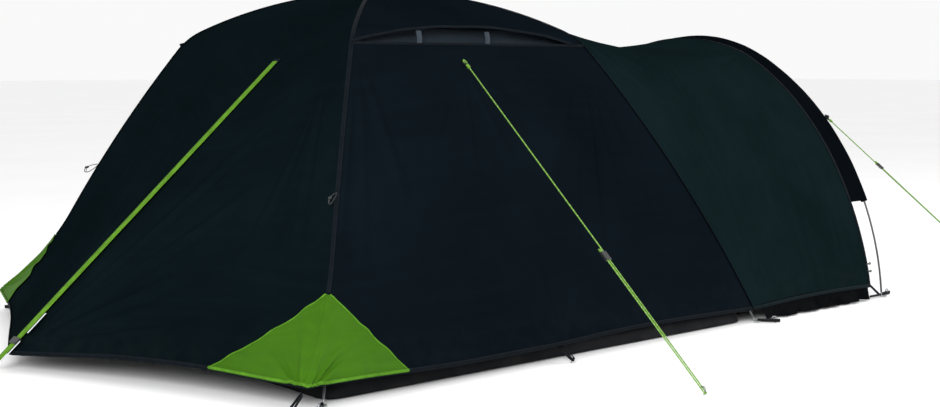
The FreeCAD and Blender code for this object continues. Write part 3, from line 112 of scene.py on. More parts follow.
def mix(a, b, share):
    return a + (b - a) * share


def smooth(x):
    x = np.clip(x, 0.0, 1.0)
    return x * x * (3 - 2 * x)


def circle(count):
    return np.linspace(0, 2 * math.pi, count, endpoint=False)


def stack(x, y, z):
    return np.stack(np.broadcast_arrays(x, y, z), axis=-1).astype(float)


def unit(v):
    return v / np.maximum(np.linalg.norm(v, axis=-1, keepdims=True), 1e-12)


def lattice(i, j, k, seed):
    """A repeatable value from 0 to 1 for each whole-number cell."""
    n = (i * 374761393 + j * 668265263 + k * 1440662683 + seed * 1274126177) & 0xFFFFFFFF
    n = ((n ^ (n >> 13)) * 1274126177) & 0xFFFFFFFF
    return ((n ^ (n >> 16)) & 0xFFFF) / 65535.0


def noise(points, cell, seed):
    """Smooth value noise from -1 to 1."""
    q = points / np.asarray(cell, float)
    base = np.floor(q).astype(np.int64)
    f = q - base
    f = f * f * (3 - 2 * f)
    total = 0.0
    for corner in range(8):
        step = [(corner >> axis) & 1 for axis in range(3)]
        weight = 1.0
        for axis in range(3):
            weight = weight * (f[..., axis] if step[axis] else 1 - f[..., axis])
        total = total + weight * lattice(*(base[..., a] + step[a] for a in range(3)), seed)
    return total * 2 - 1


class Arch:
    """Half an arch as arcs that run into each other; angles are of the tangent, from level at the top."""

    def __init__(self, height, arcs):
        self.arcs = []
        centre = (0.0, height - arcs[0][0])
        start, previous = 0.0, arcs[0][0]
        for radius, end in arcs:
            step = previous - radius
            centre = (centre[0] + step * math.sin(start), centre[1] + step * math.cos(start))
            self.arcs.append((centre[0], centre[1], radius, end))
            previous, start = radius, end
        self.foot = start
        self.table = np.linspace(0, start, 1500)

    def at(self, angle, offset=0.0):
        """(distance from the middle, height) at these tangent angles."""
        angle = np.asarray(angle, float)
        distance, height = np.zeros(angle.shape), np.zeros(angle.shape)
        low = -1.0
        for cx, cz, radius, end in self.arcs:
            here = (angle > low) & (angle <= end + 1e-9)
            distance = np.where(here, cx + (radius + offset) * np.sin(angle), distance)
            height = np.where(here, cz + (radius + offset) * np.cos(angle), height)
            low = end
        return distance, height

    def at_height(self, height, offset=0.0):
        distance, table_height = self.at(self.table, offset)
        return np.interp(height, table_height[::-1], distance[::-1])

    def angle_at_height(self, height, offset=0.0):
        table_height = self.at(self.table, offset)[1]
        return np.interp(height, table_height[::-1], self.table[::-1])


def dome_arch():
    sin, cos = math.sin, math.cos
    across = HALF_DIAGONAL - SHOULDER_RADIUS * (sin(SHOULDER_ANGLE) - sin(CROWN_ANGLE))
    down = CROSSING - SHOULDER_RADIUS * (cos(CROWN_ANGLE) - cos(SHOULDER_ANGLE))
    a, b = sin(CROWN_ANGLE), sin(FOOT_ANGLE) - sin(SHOULDER_ANGLE)
    c, d = 1 - cos(CROWN_ANGLE), cos(SHOULDER_ANGLE) - cos(FOOT_ANGLE)
    crown = (across * d - b * down) / (a * d - b * c)
    leg = (a * down - across * c) / (a * d - b * c)
    return Arch(CROSSING, [(crown, CROWN_ANGLE), (SHOULDER_RADIUS, SHOULDER_ANGLE), (leg, FOOT_ANGLE)])


def hoop_arch():
    across = HOOP_HALF_WIDTH - HOOP_CROWN_RADIUS * math.sin(HOOP_CROWN_ANGLE)
    down = HOOP_HEIGHT - HOOP_CROWN_RADIUS * (1 - math.cos(HOOP_CROWN_ANGLE))
    foot = 2 * math.atan2(down, across) - HOOP_CROWN_ANGLE
    leg = across / (math.sin(foot) - math.sin(HOOP_CROWN_ANGLE))
    return Arch(HOOP_HEIGHT, [(HOOP_CROWN_RADIUS, HOOP_CROWN_ANGLE), (leg, foot)])


VAULT = dome_arch()
HOOP = hoop_arch()
CROWN_OUT, CROWN_Z = (float(v) for v in VAULT.at(CROWN_ANGLE, FLY))


def dome_ridge(height, front, side, offset=FLY):
    """Points on a pole ridge of the fly; the rear corners flare out towards their pegs."""
    out = VAULT.at_height(height, offset)
    x, y = front * RIDGE_X * out, side * RIDGE_Y * out
    if front < 0:
        share = np.clip((FLARE_TOP - height) / (FLARE_TOP - FLARE_LOW), 0, 1.1) ** 2
        x = x - FLARE_X * share
        y = y + side * FLARE_Y * share
    return stack(x, y, height)


def rear_ridge(height):
    """The ridge under the rear strap: straight, then a parabola up to the crossing."""
    slope = (STRAP_TOP_Z - REAR_Z) / (REAR_X - STRAP_TOP_X)
    bend = (slope * STRAP_TOP_X - (APEX - STRAP_TOP_Z)) / STRAP_TOP_X ** 2
    lean = slope - 2 * bend * STRAP_TOP_X
    fall = np.maximum(APEX - height, 0)
    curved = -(np.sqrt(lean ** 2 + 4 * bend * fall) - lean) / (2 * bend)
    straight = -(STRAP_TOP_X + (STRAP_TOP_Z - height) / slope)
    return stack(np.where(height > STRAP_TOP_Z, curved, straight), 0.0 * height, height)


# ---------------------------------------------------------------- materials

class Shader:
    """A Principled material with short calls for the nodes that feed it."""

    def __init__(self, name):
        self.material = bpy.data.materials.new(name)
        self.material.use_nodes = True
        self.tree = self.material.node_tree
        self.surface = self.tree.nodes["Principled BSDF"]
        self.output = self.tree.nodes["Material Output"]

    def node(self, kind, **inputs):
        made = self.tree.nodes.new(kind)
        for key, value in inputs.items():
            self.feed(made.inputs[key.replace("_", " ")], value)
        return made

    def feed(self, socket, value):
        if isinstance(value, bpy.types.NodeSocket):
            self.tree.links.new(value, socket)
        else:
            socket.default_value = value

    def set(self, key, value):
        self.feed(self.surface.inputs[key], value)

    def math(self, operation, a, b=0.0):
        made = self.tree.nodes.new("ShaderNodeMath")
        made.operation = operation
        self.feed(made.inputs[0], a)
        self.feed(made.inputs[1], b)
        return made.outputs[0]

    def wave(self, value, pitch):
        return self.math("SINE", self.math("MULTIPLY", value, 2 * math.pi / pitch))

    def where(self):
        """The object's own coordinates, which are the tent's at rest."""
        return self.tree.nodes.new("ShaderNodeTexCoord").outputs["Object"]

    def uv(self):
        return self.tree.nodes.new("ShaderNodeTexCoord").outputs["UV"]

    def split(self, vector):
        return self.node("ShaderNodeSeparateXYZ", Vector=vector).outputs

    def scaled(self, vector, factors):
        made = self.tree.nodes.new("ShaderNodeMapping")
        self.feed(made.inputs["Vector"], vector)
        made.inputs["Scale"].default_value = factors
        return made.outputs["Vector"]

    def clouds(self, scale, detail=4.0, vector=None, rough=0.55):
        made = self.node("ShaderNodeTexNoise", Scale=scale, Detail=detail, Roughness=rough)
        self.feed(made.inputs["Vector"], vector if vector is not None else self.where())
        return made.outputs["Fac"]

    def ramp(self, fac, low, high, start=0.0, end=1.0):
        """Maps fac from start..end to low..high, clamped."""
        made = self.tree.nodes.new("ShaderNodeMapRange")
        for key, value in (("Value", fac), ("From Min", start), ("From Max", end),
                           ("To Min", low), ("To Max", high)):
            self.feed(made.inputs[key], value)
        return made.outputs["Result"]

    def blend(self, fac, a, b):
        made = self.tree.nodes.new("ShaderNodeMix")
        made.data_type = "RGBA"
        self.feed(made.inputs[0], fac)
        self.feed(made.inputs[6], a)
        self.feed(made.inputs[7], b)
        return made.outputs[2]

    def bump(self, height, strength, distance=0.001, normal=None):
        made = self.node("ShaderNodeBump", Height=height, Strength=strength, Distance=distance)
        if normal is not None:
            self.feed(made.inputs["Normal"], normal)
        return made.outputs["Normal"]


def colour(red, green, blue):
    """A linear colour from screen values out of 255."""
    def linear(value):
        value /= 255
        return value / 12.92 if value <= 0.04045 else ((value + 0.055) / 1.055) ** 2.4
    return (linear(red), linear(green), linear(blue), 1.0)


def shade(tint, factor):
    return (tint[0] * factor, tint[1] * factor, tint[2] * factor, 1.0)


def thread_height(s, pitch):
    """A plain weave over UV in metres: two crossed waves."""
    along, across = s.split(s.uv())[:2]
    return s.math("MULTIPLY", s.wave(along, pitch), s.wave(across, pitch))


def cloth_material(name, tint, rough=0.62, specular=0.0):
    """Coated tent cloth: plain weave, uneven dye, dust near the ground, faint creases from its bag."""
    s = Shader(name)
    patchy = s.clouds(2.2, 5.0)
    streaks = s.clouds(1.0, 3.0, s.scaled(s.uv(), (1.6, 22.0, 1.0)))
    height = s.split(s.where())[2]
    shaded = s.blend(s.ramp(patchy, 0.0, 1.0, 0.35, 0.68), shade(tint, 0.84), shade(tint, 1.18))
    streaked = s.blend(s.ramp(streaks, 0.0, 0.35, 0.45, 0.75), shaded, shade(tint, 1.35))
    low = s.ramp(height, 0.30, 0.0, 0.02, 0.20)
    dust = s.math("MULTIPLY", low, s.ramp(s.clouds(19.0, 5.0), 0.0, 1.0, 0.40, 0.70))
    s.set("Base Color", s.blend(s.math("MULTIPLY", dust, 0.5), streaked, colour(34, 36, 36)))
    s.set("Roughness", s.ramp(s.clouds(7.0, 3.0), rough - 0.07, rough + 0.09, 0.3, 0.7))
    s.set("Specular IOR Level", specular)
    s.set("Sheen Weight", 0.004)
    s.set("Sheen Roughness", 0.45)
    s.set("Sheen Tint", shade(tint, 12.0))
    crumple = s.bump(s.clouds(24.0, 6.0, None, 0.62), 0.22, 0.006)
    s.set("Normal", s.bump(thread_height(s, 0.0012), 0.25, 0.0002, crumple))
    return s.material


def tape_material(name, tint, stitch, ribs=0.0016):
    """Woven tape: ribs across it and a row of stitches near each edge.  UV is metres along, 0-1 across."""
    s = Shader(name)
    along, across = s.split(s.uv())[:2]
    dash = s.math("LESS_THAN", s.math("FRACT", s.math("DIVIDE", along, 0.0065)), 0.68)
    from_middle = s.math("ABSOLUTE", s.math("SUBTRACT", across, 0.5))
    row = s.math("LESS_THAN", s.math("ABSOLUTE", s.math("SUBTRACT", from_middle, 0.34)), 0.045)
    seam = s.math("MULTIPLY", dash, row)
    worn = s.blend(s.ramp(s.clouds(30.0, 5.0), 0.0, 1.0, 0.35, 0.7), shade(tint, 0.8), shade(tint, 1.25))
    s.set("Base Color", s.blend(seam, worn, stitch))
    s.set("Roughness", s.ramp(s.clouds(40.0, 3.0), 0.62, 0.8))
    s.set("Specular IOR Level", 0.04)
    rib = s.wave(along, ribs)
    height = s.math("ADD", s.math("MULTIPLY", rib, 0.4), s.math("MULTIPLY", seam, 1.4))
    s.set("Normal", s.bump(height, 0.5, 0.0004))
    return s.material


def cord_material(name, tint, fleck):
    """A braided cord: slanting strands with a reflective fleck.  UV is metres along, 0-1 round."""
    s = Shader(name)
    along, around = s.split(s.uv())[:2]
    turns = s.math("MULTIPLY", along, 2 * math.pi / 0.006)
    lean = s.math("MULTIPLY", around, 4 * math.pi)
    one = s.math("SINE", s.math("ADD", turns, lean))
    other = s.math("SINE", s.math("SUBTRACT", turns, lean))
    braid = s.math("MULTIPLY", one, other)
    flecked = s.math("GREATER_THAN", s.math("SINE", s.math("MULTIPLY", turns, 0.25)), 0.86)
    # Painted shade and highlight: the strands are coloured darker in the grooves between them and lighter on
    # their crests.
    painted_braid_shading = s.blend(s.ramp(braid, 0.0, 1.0, -1.0, 1.0), shade(tint, 0.62), shade(tint, 1.3))
    s.set("Base Color", s.blend(s.math("MULTIPLY", flecked, 0.25), painted_braid_shading, fleck))
    s.set("Roughness", s.ramp(s.clouds(60.0), 0.5, 0.75))
    s.set("Normal", s.bump(braid, 0.6, 0.0005))
    return s.material


def net_material(name, tint):
    """Fine net: dark threads with holes that let a little through."""
    s = Shader(name)
    along, across = s.split(s.uv())[:2]
    turn = 2 * math.pi / 0.004
    warp = s.math("COSINE", s.math("MULTIPLY", along, turn))
    weft = s.math("COSINE", s.math("MULTIPLY", across, turn))
    thread = s.math("MAXIMUM", warp, weft)
    s.set("Base Color", s.blend(s.ramp(s.clouds(12.0), 0.0, 1.0), shade(tint, 0.8), shade(tint, 1.3)))
    s.set("Roughness", 0.8)
    s.set("Specular IOR Level", 0.1)
    s.set("Alpha", s.ramp(thread, 0.82, 1.0, -0.2, 0.6))
    s.set("Normal", s.bump(thread, 0.5, 0.0006))
    return s.material


def plastic_material(name, tint, rough=0.42, grain=90.0):
    """Moulded plastic: a fine grain, scuffed lighter patches."""
    s = Shader(name)
    scuff = s.ramp(s.clouds(55.0, 6.0), 0.0, 0.5, 0.55, 0.8)
    s.set("Base Color", s.blend(scuff, tint, shade(tint, 2.4)))
    s.set("Roughness", s.ramp(s.clouds(30.0), rough - 0.1, rough + 0.15))
    s.set("Normal", s.bump(s.clouds(grain * 12, 2.0), 0.12, 0.0005))
    return s.material


def metal_material(name, tint, rough=0.32, wear=0.4):
    """Bare or plated metal: drawing marks and dull, darker patches."""
    s = Shader(name)
    dull = s.ramp(s.clouds(26.0, 6.0), 0.0, wear, 0.45, 0.72)
    s.set("Base Color", s.blend(dull, tint, shade(tint, 0.42)))
    s.set("Metallic", 1.0)
    s.set("Roughness", s.ramp(s.clouds(70.0, 4.0), rough - 0.1, rough + 0.2))
    s.set("Normal", s.bump(s.clouds(900.0, 2.0, s.scaled(s.where(), (1, 1, 0.05))), 0.1, 0.0004))
    return s.material


def fibreglass_material(name, tint):
    """A pultruded rod: fine lengthways fibres under a thin gloss."""
    s = Shader(name)
    fibres = s.clouds(420.0, 3.0)
    s.set("Base Color", s.blend(s.ramp(fibres, 0.0, 1.0, 0.35, 0.7), shade(tint, 0.7), shade(tint, 1.5)))
    s.set("Roughness", s.ramp(s.clouds(30.0), 0.28, 0.45))
    s.set("Coat Weight", 0.3)
    s.set("Coat Roughness", 0.2)
    s.set("Normal", s.bump(fibres, 0.08, 0.0004))
    return s.material


def sheet_material(name, tint):
    """Heavy laminated groundsheet: a coarse woven grid under a slick coat, scuffed with dry soil."""
    s = Shader(name)
    height = s.split(s.where())[2]
    low = s.ramp(height, 0.55, 0.08, 0.0, 0.09)
    soil = s.math("MULTIPLY", low, s.ramp(s.clouds(23.0, 6.0), 0.0, 1.0, 0.42, 0.7))
    s.set("Base Color", s.blend(s.math("MULTIPLY", soil, 0.6), tint, colour(40, 39, 37)))
    s.set("Roughness", s.ramp(s.clouds(11.0, 4.0), 0.42, 0.66, 0.3, 0.7))
    s.set("Specular IOR Level", 0.06)
    crumple = s.bump(s.clouds(17.0, 6.0, None, 0.6), 0.4, 0.008)
    s.set("Normal", s.bump(thread_height(s, 0.004), 0.35, 0.0005, crumple))
    return s.material


def reflective_material(name):
    """Reflective tape: tiny glass beads in a silver film."""
    s = Shader(name)
    beads = s.node("ShaderNodeTexVoronoi", Scale=900.0).outputs["Distance"]
    hatch = s.ramp(beads, 0.0, 1.0, 0.0, 0.6)
    s.set("Base Color", s.blend(hatch, colour(240, 242, 244), colour(190, 194, 198)))
    s.set("Metallic", 0.25)
    s.set("Roughness", s.ramp(s.clouds(60.0), 0.3, 0.5))
    s.set("Normal", s.bump(beads, 0.2, 0.0003))
    return s.material


def zip_material(name, tint):
    """A coil zip: teeth across the line.  UV is metres along, 0-1 across."""
    s = Shader(name)
    along, across = s.split(s.uv())[:2]
    middle = s.ramp(s.math("ABSOLUTE", s.math("SUBTRACT", across, 0.5)), 1.0, 0.0, 0.10, 0.24)
    teeth = s.math("MULTIPLY", s.wave(along, 0.0022), middle)
    # Painted shade and highlight: the coil is coloured darker between its teeth and lighter on their crests.
    s.set("Base Color", s.blend(s.ramp(teeth, 0.0, 1.0, -1.0, 1.0), shade(tint, 0.6), shade(tint, 1.8)))
    s.set("Roughness", 0.5)
    s.set("Normal", s.bump(teeth, 0.8, 0.0008))
    return s.material


NAVY = cloth_material("fly_navy", colour(9, 15, 20))
DEEP = cloth_material("fly_rear", colour(8, 16, 19))
TEAL = cloth_material("fly_teal", colour(12, 23, 25))
BAND = cloth_material("fly_band", colour(6, 9, 12))
GREEN = cloth_material("green_cloth", colour(51, 91, 11), specular=0.06)
INNER_CLOTH = cloth_material("inner_cloth", colour(172, 176, 170), rough=0.8, specular=0.1)
GREEN_TAPE = tape_material("green_webbing", colour(84, 128, 34), colour(60, 98, 22))
GREEN_BIND = tape_material("green_binding", colour(72, 116, 30), colour(54, 92, 20))
BLACK_TAPE = tape_material("black_webbing", colour(20, 21, 23), colour(52, 54, 57))
NAVY_TAPE = tape_material("seam_tape", colour(10, 15, 20), colour(20, 27, 33), ribs=0.003)
TEAL_TAPE = tape_material("porch_seam_tape", colour(12, 21, 24), colour(24, 34, 38), ribs=0.003)
GREEN_CORD = cord_material("guy_cord", colour(98, 144, 38), colour(190, 205, 168))
BLACK_CORD = cord_material("shock_cord", colour(24, 24, 26), colour(60, 60, 62))
# The net's colour is painted lighter than its own tone, to offset the shade it lies in under the brim:
# painted light.
NET_PAINTED_LIGHTER = net_material("vent_net", colour(30, 38, 45))
BLACK_PLASTIC = plastic_material("black_plastic", colour(22, 23, 25))
ROD = fibreglass_material("fibreglass", colour(42, 44, 47))
STEEL = metal_material("steel", colour(176, 178, 180))
ZINC = metal_material("galvanised_wire", colour(158, 161, 163), 0.42, 0.6)
GROUND = sheet_material("groundsheet", colour(13, 15, 18))
SKIRT = cloth_material("mud_skirt", colour(9, 10, 12), rough=0.6)
REFLECT = reflective_material("reflective_tape")
ZIP = zip_material("zip_coil", colour(26, 29, 33))
ZIP_TAPE = tape_material("zip_tape", colour(22, 26, 30), colour(50, 56, 62), ribs=0.0012)
ELASTIC = plastic_material("elastic_cord", colour(26, 26, 28), 0.7, 40.0)
DARK_METAL = metal_material("zip_metal", colour(92, 94, 97), 0.35, 0.3)
PROP_CLOTH = cloth_material("prop_cloth", colour(44, 52, 60), specular=0.1)


# ---------------------------------------------------------------- meshes

def add_mesh(name, points, faces, uvs, material):
    mesh = bpy.data.meshes.new(name)
    mesh.from_pydata(np.asarray(points, float).reshape(-1, 3).tolist(), [], faces)
    layer = mesh.uv_layers.new(name="UVMap")
    index = np.zeros(len(mesh.loops), np.int64)
    mesh.loops.foreach_get("vertex_index", index)
    layer.data.foreach_set("uv", np.asarray(uvs, float).reshape(-1, 2)[index].ravel())
    mesh.polygons.foreach_set("use_smooth", [True] * len(mesh.polygons))
    mesh.materials.append(material)
    mesh.validate()
    obj = bpy.data.objects.new(name, mesh)
    bpy.context.scene.collection.objects.link(obj)
    return obj


def fix_to(obj, body, nodes=()):
    """Puts a finished piece on its body, in place of CAD nodes."""
    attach(obj, body)
    if nodes:
        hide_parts(*nodes)
    return obj


def grid_faces(rows, columns, flip=False, wrap=False):
    index = np.arange(rows * columns).reshape(rows, columns)
    if wrap:
        index = np.concatenate([index, index[:, :1]], axis=1)
    quads = np.stack([index[:-1, :-1], index[1:, :-1], index[1:, 1:], index[:-1, 1:]], axis=-1)
    quads = quads.reshape(-1, 4)
    return (quads[:, ::-1] if flip else quads).tolist()


def lengths(points, axis):
    """Running length along one axis of a grid of points, in metres."""
    step = np.linalg.norm(np.diff(points, axis=axis), axis=-1)
    pad = [(0, 0), (0, 0)]
    pad[axis] = (1, 0)
    return np.cumsum(np.pad(step, pad), axis=axis)


def normals(points, outside):
    """Unit normals of a grid, all on the side of the sheet that faces away from the point outside."""
    across = np.cross(np.gradient(points, axis=0), np.gradient(points, axis=1))
    normal = unit(across)
    middle = points - np.asarray(outside, float)
    if (normal * middle).sum() < 0:
        return -normal, True
    return normal, False


def pushed(points, relief, heart=HEART):
    """A grid pushed along its outward normals."""
    return points + normals(points, heart)[0] * relief[..., None]


def add_sheet(name, points, material, thickness=CLOTH, heart=HEART):
    """A cloth sheet from a grid of points on its outside, thickened inwards."""
    rows, columns = points.shape[:2]
    uvs = np.stack([lengths(points, 0), lengths(points, 1)], axis=-1)
    flip = not normals(points, heart)[1]
    obj = add_mesh(name, points, grid_faces(rows, columns, not flip), uvs, material)
    solid = obj.modifiers.new("thickness", "SOLIDIFY")
    solid.thickness = thickness
    solid.offset = -1
    return obj


def fix_normals(obj):
    """Turns every face outwards."""
    bm = bmesh.new()
    bm.from_mesh(obj.data)
    bmesh.ops.recalc_face_normals(bm, faces=bm.faces)
    bm.to_mesh(obj.data)
    bm.free()


def add_swept(name, ring, run, around, material, ends):
    """A solid from rings of points; run is the length at each ring, around the place in a ring."""
    sides = len(around)
    uvs = np.stack([np.repeat(run[:, None], sides, 1), np.repeat([around], len(run), 0)], axis=-1)
    obj = add_mesh(name, ring, grid_faces(len(run), sides, wrap=True) + ends, uvs, material)
    fix_normals(obj)
    return obj


def caps(rings, sides):
    """Faces that close both ends of a swept solid."""
    return [list(range(sides))[::-1], list(range((rings - 1) * sides, rings * sides))]


def add_ribbon(name, centre, across, width, material, thickness=TAPE, heart=HEART, lift=0.0):
    """A tape along a line; across is the direction of its width, and lift raises it off the cloth."""
    centre = np.asarray(centre, float)
    across = unit(np.broadcast_to(np.asarray(across, float), centre.shape))
    along = unit(np.gradient(centre, axis=0))
    up = unit(np.cross(along, across))
    if (up * (centre - np.asarray(heart, float))).sum() < 0:
        up = -up
    across = unit(np.cross(up, along))
    width = np.broadcast_to(width, len(centre))
    profile = [(-0.5, 0.1), (-0.44, 0.85), (0.0, 1.0), (0.44, 0.85),
               (0.5, 0.1), (0.44, -0.3), (0.0, -0.4), (-0.44, -0.3)]
    ring = np.stack([centre + across * (px * width)[:, None] + up * (lift + py * thickness)
                     for px, py in profile], axis=1)
    run = lengths(centre[:, None, :], 0)[:, 0]
    return add_swept(name, ring, run, [px + 0.5 for px, _ in profile], material, caps(len(run), len(profile)))


def add_closed_tape(name, path, across, width, material, thickness=TAPE):
    """A tape that runs round a closed line."""
    path = np.asarray(path, float)
    along = unit(np.roll(path, -1, 0) - np.roll(path, 1, 0))
    across = unit(np.broadcast_to(np.asarray(across, float), path.shape))
    up = unit(np.cross(along, across))
    profile = [(-0.5, 0.0), (-0.42, 0.5), (0.42, 0.5), (0.5, 0.0), (0.42, -0.5), (-0.42, -0.5)]
    ring = np.stack([path + across * px * width + up * py * thickness for px, py in profile], axis=1)
    ring = np.concatenate([ring, ring[:1]])
    run = lengths(ring[:, :1], 0)[:, 0]
    return add_swept(name, ring, run, [px + 0.5 for px, _ in profile], material, [])


def add_tube(name, path, radius, material, sides=10, closed=False):
    """A round cord or bar along a line of points."""
    path = np.asarray(path, float)
    if closed:
        along = unit(np.roll(path, -1, 0) - np.roll(path, 1, 0))
    else:
        along = unit(np.gradient(path, axis=0))
    side = np.cross(along[0], (0, 0, 1.0))
    side = side if np.linalg.norm(side) > 0.1 else np.cross(along[0], (0, 1.0, 0))
    frames = []
    for direction in along:
        side = side - direction * (side @ direction)
        side = side / np.linalg.norm(side)
        frames.append(side)
    side = np.array(frames)
    other = np.cross(along, side)
    radius = np.broadcast_to(radius, len(path))
    turn = circle(sides)
    ring = (path[:, None] + side[:, None] * (np.cos(turn) * radius[:, None])[..., None]
            + other[:, None] * (np.sin(turn) * radius[:, None])[..., None])
    run = lengths(path[:, None, :], 0)[:, 0]
    ends = caps(len(path), sides)
    if closed:
        last = ends[1]
        ends = [[last[i], i, (i + 1) % sides, last[(i + 1) % sides]] for i in range(sides)]
    return add_swept(name, ring, run, turn / (2 * math.pi), material, ends)


def joined(name, objects):
    """Joins pieces that share a body and a material slot into one."""
    with bpy.context.temp_override(active_object=objects[0], selected_editable_objects=objects,
                                   selected_objects=objects):
        bpy.ops.object.join()
    objects[0].name = name
    objects[0].data.name = name
    return objects[0]


# ---------------------------------------------------------------- relief

def fold(place, start, end, width, depth):
    """A tension fold from start to end: a soft ridge with a valley beside it, fading at both ends."""
    start, end = np.asarray(start, float), np.asarray(end, float)
    run = end - start
    length = np.linalg.norm(run)
    along = ((place - start) @ run) / length ** 2
    normal = np.array([-run[1], run[0]]) / length
    off = (place - start) @ normal
    spread = width * (0.55 + 0.75 * np.clip(along, 0, 1))
    x = off / spread
    fade = np.sin(math.pi * np.clip(along, 0, 1)) ** 0.6
    valleys = 0.55 * np.exp(-(x - 1.5) ** 2) + 0.3 * np.exp(-(x + 1.6) ** 2)
    return depth * fade * (np.exp(-x * x) - valleys)


def fan(place, anchor, targets, width, depth, seed):
    """Folds that spread from an anchor towards several targets, no two alike."""
    total = 0.0
    anchor = np.asarray(anchor, float)
    for i, target in enumerate(targets):
        vary = lattice(i, 3, 7, seed)
        vary_more = lattice(i, 5, 1, seed)
        first = mix(anchor, np.asarray(target, float), 0.04 + 0.1 * vary)
        wide = width * (0.7 + 0.6 * vary_more)
        total = total + fold(place, first, target, wide, depth * (0.6 + 0.7 * vary))
    return total


def fans(place, table, seed):
    """The sum of several fans; each row has an anchor, its targets, width, depth and a shift of the seed."""
    total = 0.0
    for anchor, targets, width, depth, shift in table:
        total = total + fan(place, anchor, targets, width, depth, seed + shift)
    return total


def crumple(points, seed, stretch=(1, 1, 1), amount=1.0):
    """Broad billows, hand-sized dents and fine puckers, longer along the cloth's tension."""
    stretch = np.asarray(stretch, float)
    broad = noise(points, 0.42 * stretch, seed) * 0.0055
    dents = noise(points, 0.15 * stretch, seed + 1) * 0.0022
    puckers = noise(points, 0.055 * stretch, seed + 2) * 0.0007
    return (broad + dents + puckers) * amount


def edge_fade(u, v, span_u, span_v, left=0.05, right=0.05, bottom=0.05, top=0.05):
    """0 at an edge that is held by a seam, 1 a little way in; None leaves an edge free."""
    fade = 1.0
    for distance, reach in ((u * span_u, left), ((1 - u) * span_u, right),
                            (v * span_v, bottom), ((1 - v) * span_v, top)):
        if reach is not None:
            fade = fade * smooth(distance / reach)
    return fade


def axes(rows, columns):
    return np.meshgrid(np.linspace(0, 1, rows), np.linspace(0, 1, columns), indexing="ij")


# ---------------------------------------------------------------- fly: side panels

def side_hem(u):
    """The hem's height: held down at the corners and at the middle peg, arched between them."""
    rear, middle, front = 0.078, 0.062, 0.055
    line = mix(rear, middle, smooth(u * 3.2))
    line = mix(line, front, smooth((u - 0.55) / 0.45))
    return line + 0.010 * np.clip(np.sin(2 * math.pi * (u - 0.5)), 0, 1)


def side_points(u, v, side):
    """The plain side panel: level lines from the rear pole ridge to the front one."""
    height = mix(side_hem(u), VENT_LOW, v)
    return mix(dome_ridge(height, -1, side), dome_ridge(height, 1, side), u[..., None])


# Places on the side panel are (x, z): its folds start at the ends of the vent, the guy and the pegs.
SIDE_GUY_SPOT = (VENT_MIDDLE, 1.035)
SIDE_FANS = (
    ((0.52, 1.09), ((0.12, 0.28), (0.20, 0.16), (0.30, 0.34), (0.06, 0.52), (0.44, 0.42), (0.62, 0.38)),
     0.024, 0.0075, 0),
    ((-0.56, 1.09), ((-0.90, 0.44), (-0.80, 0.36), (-0.70, 0.62), (-0.55, 0.55)), 0.020, 0.006, 3),
    (SIDE_GUY_SPOT, ((-0.40, 0.72), (-0.22, 0.60), (0.0, 0.66), (0.16, 0.84), (-0.46, 0.95)),
     0.018, 0.0045, 6),
    ((-1.16, 0.08), ((-0.72, 0.26), (-0.64, 0.16), (-0.86, 0.42)), 0.018, 0.005, 9),
    ((1.05, 0.06), ((0.55, 0.20), (0.70, 0.34), (0.42, 0.11)), 0.018, 0.0045, 12),
    ((-0.05, 0.06), ((-0.27, 0.24), (0.15, 0.26), (-0.05, 0.34)), 0.016, 0.004, 15),
)


def side_relief(points, u, v, seed):
    place = points[..., [0, 2]]
    from_guy = np.linalg.norm((place - SIDE_GUY_SPOT) * (1.0, 0.8), axis=-1)
    hollow = -0.016 * np.sin(math.pi * u) * np.sin(math.pi * np.clip(v, 0, 1)) ** 0.8
    pull = 0.020 * np.exp(-(from_guy / 0.10) ** 1.3)
    return hollow + pull + fans(place, SIDE_FANS, seed) + crumple(points, seed, (1.0, 1.0, 2.4), 0.9)


def side_sheet(side, seed):
    u, v = axes(240, 130)
    points = side_points(u, v, side)
    relief = side_relief(points, u, v, seed)
    held = edge_fade(u, v, 1.9, 1.15, 0.035, 0.035, None, 0.03)
    return pushed(points, relief * held)


side_grids = {}
for side, word in SIDES:
    side_grids[side] = side_sheet(side, 11 if side == RIGHT else 47)
    panel = add_sheet("fly_side_" + word, side_grids[side], NAVY)
    fix_to(panel, "tent", ["fly_side_panel_" + word])


# ---------------------------------------------------------------- fly: rear panels

def rear_hem(u):
    """u runs from the pole ridge to the middle of the rear."""
    return mix(0.080, REAR_Z, u) + 0.020 * np.sin(math.pi * u) ** 1.2


def rear_points(u, v, side):
    """The plain rear panel: level lines from a pole ridge in to the strap's ridge, rounded near the top."""
    height = mix(rear_hem(u), APEX - 0.0015, v)
    ridge = dome_ridge(height, -1, side)
    middle = rear_ridge(height)
    rounded = u + u ** 2 - u ** 3
    share = mix(u, rounded, smooth((height - STRAP_TOP_Z + 0.04) / 0.16))
    x = mix(ridge[..., 0], middle[..., 0], share)
    y = mix(ridge[..., 1], middle[..., 1], u)
    return stack(x, y, height)


# Places on the rear panel are (distance from the strap, z): folds start at the strap's foot and the poles.
REAR_FANS = (
    ((0.015, 0.08), ((0.29, 0.84), (0.245, 0.80), (0.33, 0.47), (0.40, 0.33), (0.47, 0.27), (0.62, 0.20),
                     (0.44, 0.62)), 0.017, 0.0085, 0),
    ((0.50, 0.98), ((0.83, 0.33), (0.76, 0.40), (0.66, 0.52), (0.60, 0.36)), 0.018, 0.0062, 4),
    ((1.14, 0.08), ((0.70, 0.30), (0.62, 0.16), (0.80, 0.44)), 0.018, 0.0055, 8),
)


def rear_relief(points, u, v, seed):
    place = np.stack([np.abs(points[..., 1]), points[..., 2]], axis=-1)
    hollow = -0.014 * np.sin(math.pi * u) * np.sin(math.pi * np.clip(v * 1.2, 0, 1)) ** 0.8
    return hollow + fans(place, REAR_FANS, seed) + crumple(points, seed, (1.0, 1.3, 1.9), 0.9)


